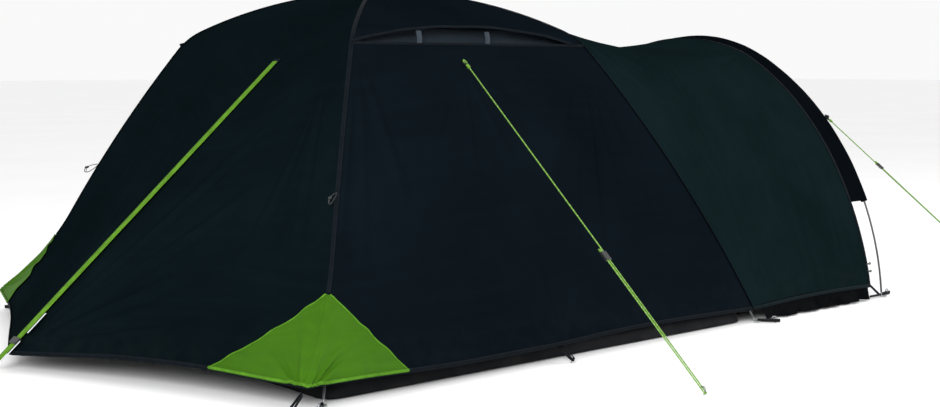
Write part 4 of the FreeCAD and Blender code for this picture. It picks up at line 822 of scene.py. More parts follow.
def rear_sheet(side, seed):
    u, v = axes(130, 170)
    points = rear_points(u, v, side)
    relief = rear_relief(points, u, v, seed)
    span = np.linalg.norm(points[0] - points[-1], axis=-1)
    over_pole = mix(0.035, 0.16, smooth((points[..., 2] - 0.92) / 0.18))
    held = edge_fade(u, v, span[None, :], 1.6, over_pole, 0.02, None, 0.30)
    return pushed(points, relief * held)


rear_grids = {}
for side, word in SIDES:
    rear_grids[side] = rear_sheet(side, 83 if side == RIGHT else 131)
    panel = add_sheet("fly_rear_" + word, rear_grids[side], DEEP)
    fix_to(panel, "tent", ["fly_rear_panel_" + word])


# ---------------------------------------------------------------- fly: crown panels

def crown_points(u, v, direction):
    """A crown panel from its lower edge (v 0) up to the crossing; direction is "front" or a side."""
    angle = CROWN_ANGLE * (1 - v) + 0.004 * v
    out, height = VAULT.at(angle, FLY)
    if direction == "front":
        return stack(RIDGE_X * out, RIDGE_Y * out * (2 * u - 1), height)
    return stack(RIDGE_X * out * (2 * u - 1), direction * RIDGE_Y * out, height)


def crown_sheet(direction, seed):
    u, v = axes(120, 70)
    points = crown_points(u, v, direction)
    hollow = -0.006 * np.sin(math.pi * u) * np.sin(math.pi * v)
    relief = hollow + crumple(points, seed, (1.2, 1.2, 1.0), 0.7)
    span = np.linalg.norm(points[0] - points[-1], axis=-1)
    held = edge_fade(u, v, span[None, :], 0.8, 0.03, 0.03, 0.03, 0.1)
    return pushed(points, relief * held)


for side, word in SIDES:
    crown = add_sheet("fly_crown_" + word + "_sheet", crown_sheet(side, 17 + side), NAVY)
    fix_to(crown, "tent", ["fly_crown_" + word])
front_crown = add_sheet("fly_crown_front_sheet", crown_sheet("front", 29), NAVY)
fix_to(front_crown, "tent", ["fly_crown_front"])


# ---------------------------------------------------------------- porch

def porch_back(s):
    """Where the porch joins the dome: up one front pole, across under the crown and down the other."""
    share = np.clip((1 - np.abs(s)) / (1 - ROOF_SHARE), 0, 1)
    height = mix(0.055, CROWN_Z, share ** 0.92)
    leg = dome_ridge(height, 1, 1)
    level = np.abs(s) <= ROOF_SHARE
    x = np.where(level, RIDGE_X * CROWN_OUT, leg[..., 0])
    y = np.where(level, RIDGE_Y * CROWN_OUT * np.abs(s) / ROOF_SHARE, leg[..., 1])
    return stack(x, y * np.sign(s), np.where(level, CROWN_Z, height))


def hoop_line(s):
    """The porch cloth's front edge over the hoop."""
    foot = float(HOOP.angle_at_height(HOOP_HEM, HOOP_SKIN))
    out, height = HOOP.at(np.abs(s) * foot, HOOP_SKIN)
    return stack(HOOP_X + 0.0 * out, out * np.sign(s), height)


def porch_points(s, x):
    """The porch cloth, which sags between the dome and the hoop; s runs -1 to 1 over the arch."""
    back, front = porch_back(s), hoop_line(s)
    share = np.clip((x - back[..., 0]) / (front[..., 0] - back[..., 0]), 0, 1)
    points = mix(back, front, share[..., None])
    roof = smooth(1.25 - 1.6 * np.abs(s))
    waist = np.sin(math.pi * share ** 0.92)
    points[..., 2] -= 0.066 * roof * waist
    wall = smooth((np.abs(s) - 0.25) / 0.4) * smooth((1.02 - np.abs(s)) / 0.3)
    points[..., 1] -= 0.030 * np.sign(s) * waist * wall
    points[..., 2] += 0.012 * waist * smooth((np.abs(s) - 0.86) / 0.14)
    return points


# Places on the porch are (x, way down from its roof): folds start at its lower corners and off the poles.
PORCH_TOP = 1.2
PORCH_FANS = (
    ((1.06, 2.20), ((1.35, 1.85), (1.50, 2.05), (1.28, 1.62), (1.62, 2.12)), 0.024, 0.0050, 0),
    ((1.86, 2.22), ((1.50, 1.90), (1.42, 2.08), (1.66, 1.70)), 0.022, 0.0048, 5),
    ((1.85, 0.50), ((1.40, 0.62), (1.46, 0.80), (1.52, 0.40)), 0.026, 0.0040, 9),
    ((0.56, 0.60), ((1.0, 0.80), (1.1, 0.62), (0.98, 1.04)), 0.024, 0.0045, 13),
)


def porch_relief(points, seed):
    place = np.stack([points[..., 0], np.abs(points[..., 1]) + (PORCH_TOP - points[..., 2])], axis=-1)
    return fans(place, PORCH_FANS, seed) + crumple(points, seed, (2.2, 1.0, 1.0), 0.85)


def porch_grid(first, last, columns, held_first, held_last, seed):
    """Part of the porch cloth between two lengths; None stands for the dome's seam."""
    s, w = axes(330, columns)
    s = s * 2 - 1
    start = porch_back(s)[..., 0] if first is None else first
    x = mix(start, last, w)
    points = porch_points(s, x)
    held = smooth(np.abs(x - start) / 0.04) if held_first else 1.0
    if held_last:
        held = held * smooth(np.abs(last - x) / 0.04)
    return pushed(points, porch_relief(points, seed) * held, PORCH_HEART)


SADDLE_GRID = porch_grid(None, SPLIT_X, 60, True, False, 61)
TUNNEL_GRID = porch_grid(SPLIT_X, BAND_X, 90, False, True, 61)
saddle = add_sheet("porch_saddle_sheet", SADDLE_GRID, TEAL, heart=PORCH_HEART)
fix_to(saddle, "tent", ["porch_saddle"])
tunnel = add_sheet("porch_tunnel_sheet", TUNNEL_GRID, TEAL, heart=PORCH_HEART)
fix_to(tunnel, "tent", ["porch_tunnel"])


def concertina(obj):
    """Gives the cloth its own copy of its mesh data."""
    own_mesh(obj)


concertina(tunnel)


# ---------------------------------------------------------------- hoop band

def band_grid():
    """The dark band over the hoop, from the tunnel's front edge round the pole and a little way back."""
    low = float(HOOP.angle_at_height(BAND_LOW, HOOP_SKIN)) / float(HOOP.angle_at_height(HOOP_HEM, HOOP_SKIN))
    s = np.linspace(-low, low, 260)[:, None]
    w = np.linspace(0, 1, 22)[None, :]
    s, w = np.broadcast_arrays(s, w)
    flat = porch_points(s, mix(BAND_X, HOOP_X, w))
    puckers = 0.0016 * np.sin(s * 95) * w * (1 - w) * 4 + noise(flat, 0.05, 5) * 0.0009
    return pushed(flat, puckers, PORCH_HEART), low


BAND_GRID, BAND_END = band_grid()
band = add_sheet("porch_front_band_sheet", BAND_GRID, BAND, 0.0012, PORCH_HEART)
fix_to(band, "porch_hoop", ["porch_front_band"])


def sleeve_grid(end):
    """The sleeve round the hoop that the band is sewn to."""
    s = np.linspace(-end, end, 260)
    foot = float(HOOP.angle_at_height(HOOP_HEM, HOOP_SKIN))
    angle = np.abs(s) * foot
    out, height = HOOP.at(angle, 0.0)
    centre = stack(np.full(s.shape, HOOP_X), out * np.sign(s), height)
    outward = stack(0 * s, np.sin(angle) * np.sign(s), np.cos(angle))
    turn = circle(24)
    reach = 0.0148 * (1 + 0.05 * noise(stack(s * 20, s * 0, s * 0), 1.0, 3)[:, None])
    return (centre[:, None] + outward[:, None] * (np.sin(turn)[None] * reach)[..., None]
            + np.array([1.0, 0, 0]) * (np.cos(turn)[None] * reach * 0.8)[..., None])


def add_sleeve():
    ring = sleeve_grid(BAND_END)
    rows, columns = ring.shape[:2]
    uvs = np.stack([lengths(ring, 0), lengths(ring, 1)], axis=-1)
    faces = grid_faces(rows, columns, wrap=True)
    obj = add_mesh("hoop_sleeve_cloth", ring, faces, uvs, BAND)
    fix_normals(obj)
    solid = obj.modifiers.new("thickness", "SOLIDIFY")
    solid.thickness = 0.0009
    solid.offset = -1
    return fix_to(obj, "porch_hoop", ["hoop_sleeve"])


add_sleeve()


# ---------------------------------------------------------------- seams and hems

def add_ridge_seam(name, front, side, low):
    """A tape up a pole ridge, from this height to the crossing."""
    line = dome_ridge(np.linspace(low, APEX - 0.001, 120), front, side)
    outward = unit(line - np.array(RIDGE_HEART))
    along = unit(np.gradient(line, axis=0))
    obj = add_ribbon(name, line, np.cross(outward, along), 0.015, NAVY_TAPE, 0.0016, RIDGE_HEART, 0.0008)
    fix_to(obj, "tent", ())


for side, word in SIDES:
    add_ridge_seam("rear_ridge_seam_" + word, -1, side, PATCH_TOP + 0.004)
    add_ridge_seam("front_ridge_seam_" + word, 1, side, 0.055)


def crown_cap_grid():
    """A round reinforcement over the point where the ridges cross."""
    turn, share = axes(72, 12)
    reach = 0.062 * (0.02 + 0.98 * share)
    x = reach * np.cos(turn * 2 * math.pi)
    y = reach * np.sin(turn * 2 * math.pi)
    outs, heights = VAULT.at(np.linspace(0, CROWN_ANGLE, 200), FLY)
    out = np.maximum(np.abs(x) / RIDGE_X, np.abs(y) / RIDGE_Y)
    return stack(x, y, np.interp(out, outs, heights) + 0.0042 - 0.0022 * share ** 4)


def add_crown_trim():
    """The cap over the crossing and the seam between crown and porch."""
    cap = add_sheet("fly_crown_cap", crown_cap_grid(), NAVY, 0.0012, (0, 0, 1.0))
    fix_to(cap, "tent", ())
    edge = porch_back(np.linspace(-ROOF_SHARE, ROOF_SHARE, 80))
    seam = add_ribbon("crown_front_seam", edge, (1, 0, -0.5), 0.014, NAVY_TAPE, 0.0014, RIDGE_HEART, 0.0006)
    fix_to(seam, "tent", ())


add_crown_trim()


def add_dome_hem(name, grid):
    """A binding folded over the low edge of a dome panel."""
    line = mix(grid[:, 0], grid[:, 1], 0.3)
    fix_to(add_ribbon(name, line, UP, 0.016, NAVY_TAPE, 0.0022), "tent", ())


def add_porch_hem(name, line, across=UP, width=0.016, tape=TEAL_TAPE):
    obj = add_ribbon(name, line, across, width, tape, 0.0022, PORCH_HEART)
    return fix_to(obj, "tent", ())


for side, word in SIDES:
    row = 0 if side == RIGHT else -1
    add_dome_hem("side_hem_" + word, side_grids[side])
    add_dome_hem("rear_hem_" + word, rear_grids[side])
    add_porch_hem("saddle_hem_" + word, SADDLE_GRID[row])
    concertina(add_porch_hem("tunnel_hem_" + word, TUNNEL_GRID[row]))
concertina(add_porch_hem("tunnel_front_binding", TUNNEL_GRID[:, -1], (1, 0, 0), 0.014, NAVY_TAPE))


# ---------------------------------------------------------------- corner patches

def on_grid(grid, u, v):
    """Points on a finished panel at fractional grid places."""
    rows, columns = grid.shape[:2]
    row = np.clip(u, 0, 1) * (rows - 1)
    column = np.clip(v, 0, 1) * (columns - 1)
    i = np.minimum(row.astype(int), rows - 2)
    j = np.minimum(column.astype(int), columns - 2)
    low = mix(grid[i, j], grid[i + 1, j], (row - i)[..., None])
    high = mix(grid[i, j + 1], grid[i + 1, j + 1], (row - i)[..., None])
    return mix(low, high, (column - j)[..., None])


def patch_leaf(grid, span, seed):
    """A triangle of green cloth from the ridge (row 0 of the grid) along the hem, creased from its peg."""
    u, v = axes(60, 60)
    rise = (PATCH_TOP - 0.08) / (grid[0, -1, 2] - grid[0, 0, 2])
    points = on_grid(grid, u * PATCH_SIDE / span * (1 - v * 0.985), v * rise)
    foot = grid[0, 0]
    along = np.linalg.norm((points - foot)[..., :2], axis=-1)
    rise_here = points[..., 2] - foot[2] + 0.02
    angle = np.arctan2(rise_here, along + 0.012)
    distance = np.hypot(rise_here, along)
    wander = angle + 0.05 * noise(points, 0.09, seed)
    rays = 0.0
    for i in range(7):
        middle = 0.34 + 0.185 * i + 0.07 * (float(lattice(i, 2, 5, seed)) - 0.5)
        narrow = 0.030 + 0.030 * float(lattice(i, 7, 1, seed))
        reach = 0.11 + 0.17 * float(lattice(i, 4, 9, seed))
        x = (wander - middle) / narrow
        crease = np.exp(-x * x) - 0.7 * np.exp(-(x - 1.7) ** 2)
        rays = rays + crease * np.exp(-(distance / reach) ** 2) * smooth(distance / 0.03)
    held = smooth(u / 0.05) * smooth((1 - u) / 0.10)
    return pushed(points, 0.0060 + rays * held * 0.0115)


def add_patch(side, word):
    """One piece of green cloth folded round the rear corner, with a lighter binding on its free edges."""
    side_leaf = patch_leaf(side_grids[side], 2.14, 3)
    rear_leaf = patch_leaf(rear_grids[side], 1.24, 9)
    ridge = (side_leaf[:1] + rear_leaf[:1]) / 2
    whole = np.concatenate([rear_leaf[:0:-1], ridge, side_leaf[1:]])
    patch = add_sheet("corner_patch_" + word + "_cloth", whole, GREEN, 0.0011)
    fix_to(patch, "tent", ["corner_patch_" + word])
    hem = whole[:, 0] + (whole[:, 1] - whole[:, 0]) * 0.5
    edges = [add_ribbon("patch_hem", hem, UP, 0.011, GREEN_BIND, 0.0022, lift=0.0009)]
    for leaf in (side_leaf, rear_leaf):
        inward = unit(leaf[-2] - leaf[-1])
        edges.append(add_ribbon("patch_edge", leaf[-1], inward, 0.006, GREEN_BIND, 0.0012, lift=0.0004))
    binding = joined("corner_patch_" + word + "_binding", edges)
    fix_to(binding, "tent", ())


for side, word in SIDES:
    add_patch(side, word)


# ---------------------------------------------------------------- vents

def brim_root(t):
    """The crown panel's lower edge, then down the ridge at each end."""
    straight = 0.86
    flat = np.clip(np.abs(t) / straight, 0, 1)
    down = np.clip((np.abs(t) - straight) / (1 - straight), 0, 1)
    height = mix(CROWN_Z, BRIM_LOW, down)
    ridge = dome_ridge(height, 1, 1)
    x = np.where(down > 0, ridge[..., 0], RIDGE_X * CROWN_OUT * flat) * np.sign(t)
    return stack(x, np.where(down > 0, ridge[..., 1], RIDGE_Y * CROWN_OUT), height)


def brim_grid(side):
    """The hood over a vent: it stands out from the crown and curves down to both ridges."""
    t, w = axes(150, 14)
    t = t * 2 - 1
    root = brim_root(t)
    edge = stack(BRIM_MIDDLE + 0.535 * t, 0.588 + 0.012 * t * t, 1.170 - 0.058 * np.abs(t) ** 2.2)
    points = mix(root, edge, w[..., None])
    points[..., 2] += 0.010 * np.sin(math.pi * w) * (1 - t ** 4)
    points[..., 1] += 0.004 * np.sin(math.pi * w)
    points = points * (1, side, 1)
    return points + noise(points, (0.09, 0.05, 0.05), 23)[..., None] * (0, 0, 0.0016) * w[..., None]


def add_brim(side, word):
    """The hood's cloth from its root on the crown out to its rim, and a tape along the rim."""
    grid = brim_grid(side)
    brim = add_sheet("vent_brim_" + word, grid, NAVY, 0.0016, (0, side * 0.3, 0.9))
    with bpy.context.temp_override(object=brim, active_object=brim):
        bpy.ops.object.modifier_apply(modifier="thickness")
    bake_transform(brim)
    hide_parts("vent_hood_" + word)
    rim = add_ribbon("vent_rim_" + word, grid[:, -1], UP, 0.010, NAVY_TAPE, 0.0018, (0, 0, 1.1))
    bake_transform(rim)


def net_grid(side):
    """The net behind a vent, from the side panel's top edge up to the crown panel's edge."""
    u, v = axes(110, 12)
    height = mix(VENT_LOW - 0.004, CROWN_Z - 0.002, v)
    ridge = dome_ridge(height, 1, 1, 0.012)
    x = ridge[..., 0] * (2 * u - 1)
    back = 0.018 * np.sin(math.pi * v) * smooth(np.minimum(u, 1 - u) * 14)
    return stack(x, side * (ridge[..., 1] - 0.002 - back), height)


def add_prop(side, x):
    """A cloth-covered stiffener that stands on the side panel's top edge."""
    foot = np.array([x, side * 0.5995, VENT_LOW + 0.003])
    lean = math.radians(8)
    tall = 0.045
    run = np.linspace(0, tall, 16)[:, None]
    line = foot + run * np.array([0, -side * math.sin(lean), math.cos(lean)])
    line[:, 1] += side * 0.003 * np.sin(math.pi * run[:, 0] / tall)
    return add_ribbon("prop_sleeve", line, (1, 0, 0), 0.024, PROP_CLOTH, 0.0030, (x, 0, 1.1))


for side, word in SIDES:
    add_brim(side, word)
    net = add_sheet("vent_net_" + word, net_grid(side), NET_PAINTED_LIGHTER, 0.0006)
    fix_to(net, "tent", ["vent_mesh_panels"])
    props = [add_prop(side, VENT_MIDDLE + shift) for shift in (-0.163, 0.163)]
    fix_to(joined("vent_prop_sleeves_" + word, props), "vent_props_" + word, ["vent_props_" + word])
    top_edge = side_grids[side][:, -1]
    edge = add_ribbon("vent_sill_" + word, top_edge, UP, 0.014, NAVY_TAPE, 0.0018, lift=0.0004)
    fix_to(edge, "tent", ())


# ---------------------------------------------------------------- rear strap, tabs, tie loops

def strap_line(first, last, count=60, lift=0.006):
    """Along the strap, in metres up from its lower end."""
    low, high = np.array([-REAR_X, 0, REAR_Z]), np.array([-STRAP_TOP_X, 0, STRAP_TOP_Z])
    way = unit(high - low)
    out = np.array([-way[2], 0, way[0]])
    run = np.linspace(first, last, count)[:, None]
    return low + way * run + out * lift


STRAP_LONG = math.hypot(REAR_X - STRAP_TOP_X, STRAP_TOP_Z - REAR_Z)
def add_rear_strap():
    """The webbing down the rear ridge and the dark anchor it is sewn to near its top."""
    strap_run = strap_line(-0.035, STRAP_LONG, 220)
    strap_run[:, 1] += noise(strap_run, 0.3, 8) * 0.0016
    strap = add_ribbon("rear_strap_webbing", strap_run, (0, 1, 0), 0.036, GREEN_TAPE, 0.0016, lift=0.001)
    fix_to(strap, "tent", ["rear_strap"])
    anchor_run = strap_line(STRAP_LONG - 0.030, STRAP_LONG + 0.014, 12)
    anchor = add_ribbon("rear_strap_anchor", anchor_run, (0, 1, 0), 0.046, NAVY_TAPE, 0.0018)
    fix_to(anchor, "tent", ())


add_rear_strap()

def add_reflectors():
    """Two silver dashes beside the foot of the rear strap."""
    dashes = []
    for top in (0.052, 0.178):
        line = strap_line(top - 0.09, top, 20, 0.0075)
        line[:, 1] -= 0.031
        dashes.append(add_ribbon("reflector", line, (0, 1, -0.25), 0.012, REFLECT, 0.0016))
    fix_to(joined("rear_reflectors", dashes), "tent", ["rear_reflective_tabs"])


add_reflectors()


def tie_loop(side):
    """A folded cord that hangs off the rear ridge, with its small lock."""
    root = dome_ridge(np.array([0.62]), -1, side)[0]
    out = unit(np.array([-1.0, side * 0.5, -0.25]))
    down = unit(np.cross(np.cross(out, (0, 0, 1.0)), out)) * -1
    turn = circle(40)
    along = 0.034 - 0.032 * np.cos(turn)
    wide = 0.010 * np.sin(turn) * (along / 0.066) ** 0.6
    ring = root + out * along[:, None] + down * (wide + 0.16 * along)[:, None] * 1.4
    loop = add_tube("tie_cord", ring, 0.0015, BLACK_CORD, 8, True)
    tail_run = np.linspace(0, 1, 8)[:, None]
    tail_from = ring[26]
    tail = add_tube("tie_tail", tail_from + tail_run * np.array([-0.004, 0, -0.018]), 0.0013, BLACK_CORD, 8)
    lock_run = np.linspace(-1, 1, 9)[:, None]
    swell = 0.0042 * np.sqrt(np.clip(1.06 - lock_run[:, 0] ** 2, 0, 1)) + 0.0006
    lock = add_tube("tie_lock", tail_from + lock_run * out * 0.009, swell, BLACK_CORD, 12)
    return [loop, tail, lock]


def add_tie_loops():
    """The tie loops on both rear ridges."""
    ties = [piece for side in (RIGHT, LEFT) for piece in tie_loop(side)]
    fix_to(joined("rear_tie_cords", ties), "tent", ["rear_tie_loops"])


add_tie_loops()


# ---------------------------------------------------------------- guys

CORD = 0.0024
GUY_SPREAD = 0.005
FRONT_GUY_Y = float(HOOP.at_height(GUY_ON_HOOP, GUY_SKIN)) + 0.004
# Each guy on the left: its body, its upper end, its peg on the ground and the way the peg leans.
GUYS = {
    "side_guy": ("tent", (VENT_MIDDLE, 0.66178, 1.035), (-0.060, 1.757, 0.0), (0, 1, 0)),
    "front_guy": ("porch_hoop", (2.002, FRONT_GUY_Y, 0.785), (2.760, 1.235, 0.0), (0.790, 0.430, 0)),
}
PEG_LEAN = math.radians(20)
GUY_ON_PEG = 0.009
GUY_END = 0.03


def guy_frame(kind, side):
    """Where a guy starts, its direction, the direction across its two runs, and its length."""
    _, top, foot, out = GUYS[kind]
    flip = np.array([1, side, 1])
    top = np.array(top) * flip
    out = unit(np.array(out, float) * flip)
    end = np.array(foot) * flip + (out * math.sin(PEG_LEAN) + UP * math.cos(PEG_LEAN)) * GUY_ON_PEG
    way = unit(end - top)
    across = unit(np.cross(way, (0, 0, 1.0)))
    return top, way, across, float(np.linalg.norm(end - top))


def coil(name, centre, way, turns, reach, radius):
    """A few wraps of cord: a finished knot."""
    way = unit(way)
    side = unit(np.cross(way, (0, 0, 1.0)))
    other = np.cross(way, side)
    turn = np.linspace(0, turns * 2 * math.pi, turns * 14)
    path = (centre + way * (np.linspace(0, reach, len(turn)))[:, None]
            + side * (np.cos(turn) * radius)[:, None] + other * (np.sin(turn) * radius)[:, None])
    return add_tube(name, path, CORD * 0.9, GREEN_CORD, 8)


def box_middle(node):
    low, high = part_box(node)
    return (np.array(low) + np.array(high)) / 2


def slider_place(node, kind, side):
    """How far along its guy a slider's upper end lies."""
    top, way, _, _ = guy_frame(kind, side)
    return float((box_middle(node) - top) @ way) - 0.018


def add_guy(kind, side, word):
    """One guy: a run down from its eye and round the peg, and a run back up to its slider."""
    body = GUYS[kind][0]
    top, way, across, length = guy_frame(kind, side)
    slider = kind + "_" + word + "_slider"
    slider_at = slider_place(slider, kind, side)
    bend = np.linspace(0, math.pi, 14)[:, None]
    down = top - across * GUY_SPREAD + way * np.linspace(0.004, length, 120)[:, None]
    around = top + way * (length + GUY_SPREAD * np.sin(bend)) - across * GUY_SPREAD * np.cos(bend)
    up = top + across * GUY_SPREAD + way * np.linspace(length, length - GUY_END, 6)[:, None]
    main = add_tube("guy_main", np.concatenate([down, around[1:-1], up]), CORD, GREEN_CORD)
    eye_turn = circle(28)[:, None]
    eye_path = (top - across * GUY_SPREAD - way * 0.006
                + way * 0.012 * np.cos(eye_turn) + across * 0.006 * np.sin(eye_turn))
    eye = add_tube("guy_eye", eye_path, CORD, GREEN_CORD, 8, True)
    knot = coil("guy_knot", top - across * GUY_SPREAD + way * 0.008, way, 4, 0.016, CORD * 1.6)
    cord = joined(kind + "_" + word + "_cord", [main, eye, knot])
    fix_to(cord, body, [kind + "_lines"])
    back = top + across * GUY_SPREAD + way * np.linspace(length - GUY_END, slider_at + 0.002, 90)[:, None]
    back_run = add_tube("guy_back", back, CORD, GREEN_CORD)
    knot_at = top + across * GUY_SPREAD + way * (slider_at - 0.014)
    end_knot = coil("guy_end_knot", knot_at, way, 3, 0.012, CORD * 1.3)
    returning = joined(kind + "_" + word + "_return", [back_run, end_knot])
    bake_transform(returning)


for side, word in SIDES:
    for kind in GUYS:
        add_guy(kind, side, word)


def folded_tab(name, root, out, along, width, reach):
    """A short loop of webbing sewn in a seam: out and back."""
    root, out = np.asarray(root, float), unit(np.asarray(out, float))
    lift = unit(np.cross(np.asarray(along, float), out))
    turn = circle(30)[:, None]
    path = root + out * (reach / 2 - reach / 2 * np.cos(turn)) + lift * 0.0035 * np.sin(turn)
    return add_closed_tape(name, path, along, width, BLACK_TAPE, 0.0014)


def add_guy_tabs():
    """The webbing tabs that the guys pull on."""
    side_tabs = []
    hoop_tabs = []
    for side in (RIGHT, LEFT):
        on_side = (VENT_MIDDLE, side * 0.642, 1.040)
        side_tabs.append(folded_tab("tab_side", on_side, (0, side, -0.35), (1, 0, 0), 0.020, 0.026))
        on_hoop = (HOOP_X + 0.008, side * float(HOOP.at_height(GUY_ON_HOOP, GUY_SKIN)), GUY_ON_HOOP)
        hoop_tabs.append(folded_tab("tab_hoop", on_hoop, (1, side * 0.1, -0.25), UP, 0.020, 0.028))
    fix_to(joined("side_guy_webbing_tabs", side_tabs), "tent", ["side_guy_tabs"])
    fix_to(joined("hoop_guy_webbing_tabs", hoop_tabs), "porch_hoop", ["hoop_guy_tabs"])


add_guy_tabs()


# ---------------------------------------------------------------- loops and straps at the ground

def peg_loop(near, far):
    """A closed loop of webbing, on edge, from a hem or ring out round a peg."""
    near = np.asarray(near, float)
    far = np.asarray(far, float)
    middle = (near + far) / 2
    half = np.linalg.norm(far - near) / 2
    along = unit(far - near)
    side = unit(np.cross(along, (0, 0, 1.0)))
    turn = circle(56)
    reach = np.sign(np.cos(turn)) * np.abs(np.cos(turn)) ** 0.55
    spread = np.sin(turn) * (0.62 + 0.38 * np.clip(reach + 0.4, 0, 1))
    path = middle + along * (reach * half)[:, None] + side * (spread * 0.008)[:, None]
    return add_closed_tape("peg_loop", path, np.cross(side, along), 0.012, BLACK_TAPE, 0.0015)


CORNER_PEG = HALF_DIAGONAL + 0.078
HOOP_PEG_X = HOOP_X + 0.078
HOOP_PEG_Y = HOOP_HALF_WIDTH - 0.022
HEM_PEG = (-0.050, HALF_WIDTH + 0.058)
REAR_PEG_X = -1.706

def add_corner_loops():
    """A loop from each corner ring round its peg."""
    corner_loops = []
    for front in (-1, 1):
        for side in (RIGHT, LEFT):
            way = np.array([front * RIDGE_X, side * RIDGE_Y, 0])
            peg = way * (CORNER_PEG + 0.004)
            corner_loops.append(peg_loop(peg - way * 0.074 + UP * 0.009, peg + way * 0.016 + UP * 0.009))
    fix_to(joined("corner_loops", corner_loops), "tent", ["corner_webbing_loops"])


add_corner_loops()

def add_hem_loops():
    """Loops from the hems round the rear, side and strap pegs."""
    hem_loops = []
    for side in (RIGHT, LEFT):
        corner = dome_ridge(np.array([FLARE_LOW]), -1, side)[0] * (1, 1, 0)
        way = unit(np.array([-1, side * 0.55, 0]))
        peg = corner + way * 0.124
        hem_loops.append(peg_loop(peg - way * 0.112 + UP * 0.066, peg + way * 0.010 + UP * 0.012))
        peg = np.array([HEM_PEG[0], side * (HEM_PEG[1] + 0.004), 0])
        out = np.array([0, side, 0])
        hem_loops.append(peg_loop(peg - out * 0.082 + UP * 0.062, peg + out * 0.010 + UP * 0.012))
    hem_loops.append(peg_loop((REAR_PEG_X + 0.098, 0, 0.052), (REAR_PEG_X - 0.012, 0, 0.012)))
    fix_to(joined("hem_loops", hem_loops), "tent", ["hem_peg_loops"])


add_hem_loops()

def add_foot_straps():
    """Two straps from the porch wall to each foot of the hoop, and a loop on to its peg."""
    foot_straps = []
    for side in (RIGHT, LEFT):
        foot = np.array([HOOP_X - 0.010, side * (HOOP_HALF_WIDTH - 0.004), 0.010])
        wall = np.array([BAND_X + 0.002, side * 1.099, 0.064])
        low = np.array([BAND_X - 0.004, side * 1.103, 0.016])
        share = np.linspace(0, 1, 20)[:, None]
        inside = (1.9, 0, 0.05)
        high_run = mix(wall, foot, share)
        low_run = mix(low, foot, share)
        foot_straps.append(add_ribbon("strap_high", high_run, UP, 0.012, BLACK_TAPE, 0.0015, inside))
        foot_straps.append(add_ribbon("strap_low", low_run, UP, 0.010, BLACK_TAPE, 0.0015, inside))
        peg = np.array([HOOP_PEG_X, side * HOOP_PEG_Y, 0])
        foot_straps.append(peg_loop(foot + (0.006, 0, 0.0), peg + (0.020, 0, 0.009)))
    fix_to(joined("hoop_foot_webbing", foot_straps), "porch_hoop", ["hoop_foot_straps"])


add_foot_straps()


def skirt_grid(side):
    """The mud skirt: a strip under the porch hem that turns out on the ground with a wavy edge."""
    u, v = axes(150, 14)
    x = mix(SPLIT_X, BAND_X - 0.012, u)
    hem = porch_points(np.full(u.shape, side * 1.0), x)
    wave = 0.007 * np.sin(x * 41) + 0.006 * np.sin(x * 87 + 1)
    fall = mix(hem[..., 2] + 0.010, 0.006 + 0.006 * (1 + np.sin(x * 33)) * 0.5, v)
    out = hem[..., 1] + side * (0.003 * (1 - v) + (0.020 + wave) * v ** 1.6) - side * 0.004
    return stack(x, out, fall)


for side, word in SIDES:
    skirt = add_sheet("mud_skirt_" + word, skirt_grid(side), SKIRT, 0.001, (1.4, 0, 0.05))
    fix_to(skirt, "tent", ["mud_skirts"])
    concertina(skirt)


# ---------------------------------------------------------------- groundsheet and inner tent

TUB_X, TUB_Y = HALF_LENGTH - 0.032, HALF_WIDTH - 0.032
TUB_TOP = 0.090
INNER = -0.046


def inner_half(height):
    out = VAULT.at_height(height, INNER)
    return RIDGE_X * out, RIDGE_Y * out


def rounded_box(turn, half_x, half_y, radius):
    """A level rounded rectangle; turn runs 0 to 1 round it from the middle of the front, by the right."""
    angle = -turn * 2 * math.pi
    x, y = np.cos(angle), np.sin(angle)
    scale = 1 / np.maximum(np.abs(x) / half_x, np.abs(y) / half_y)
    x, y = x * scale, y * scale
    over_x, over_y = np.abs(x) - (half_x - radius), np.abs(y) - (half_y - radius)
    corner = (over_x > 0) & (over_y > 0)
    far = np.hypot(over_x, over_y)
    pull = np.where(corner, radius / np.maximum(far, 1e-9), 1.0)
    nx = np.where(corner, np.sign(x) * (half_x - radius + over_x * pull), x)
    ny = np.where(corner, np.sign(y) * (half_y - radius + over_y * pull), y)
    return nx, ny


def tub_grid():
    """The groundsheet as one sheet: its floor, then walls that lean in, bulged and wrinkled."""
    turn, v = axes(720, 40)
    floor_part = 0.55
    on_floor = np.clip(v / floor_part, 0, 1)
    up_wall = np.clip((v - floor_part) / (1 - floor_part), 0, 1)
    top_x, top_y = inner_half(TUB_TOP)
    x, y = rounded_box(turn, mix(TUB_X, top_x, up_wall), mix(TUB_Y, top_y, up_wall), 0.055)
    share = np.where(up_wall > 0, 1.0, 0.02 + 0.98 * on_floor ** 0.7)
    points = stack(x * share, y * share, mix(0.0022, TUB_TOP + 0.002, up_wall))
    bulge = 0.012 * np.sin(math.pi * up_wall) + 0.006 * noise(points, (0.11, 0.11, 0.06), 71) * up_wall
    radial = unit(stack(x, y, 0 * x))
    points = points + radial * bulge[..., None]
    points[..., 2] += 0.0012 * (1 + noise(points, 0.16, 73)) * (up_wall == 0)
    points[..., 2] += 0.004 * noise(points, 0.13, 77) * up_wall
    return points


tub = add_sheet("groundsheet_tub_sheet", tub_grid(), GROUND, 0.0012, (0, 0, 0.3))
fix_to(tub, "tent", ["groundsheet_tub"])


def arch_half(height, width, low, top, corner, grow=0.0):
    """Half the width of an arched doorway at this height; 0 above and below it."""
    half, low, top, corner = width / 2 + grow, low - grow, top + grow, corner + grow
    over = np.clip(height - (top - corner), 0, corner)
    curve = half - corner + np.sqrt(np.maximum(corner ** 2 - over ** 2, 0))
    return np.where((height < low) | (height > top), 0.0, curve)


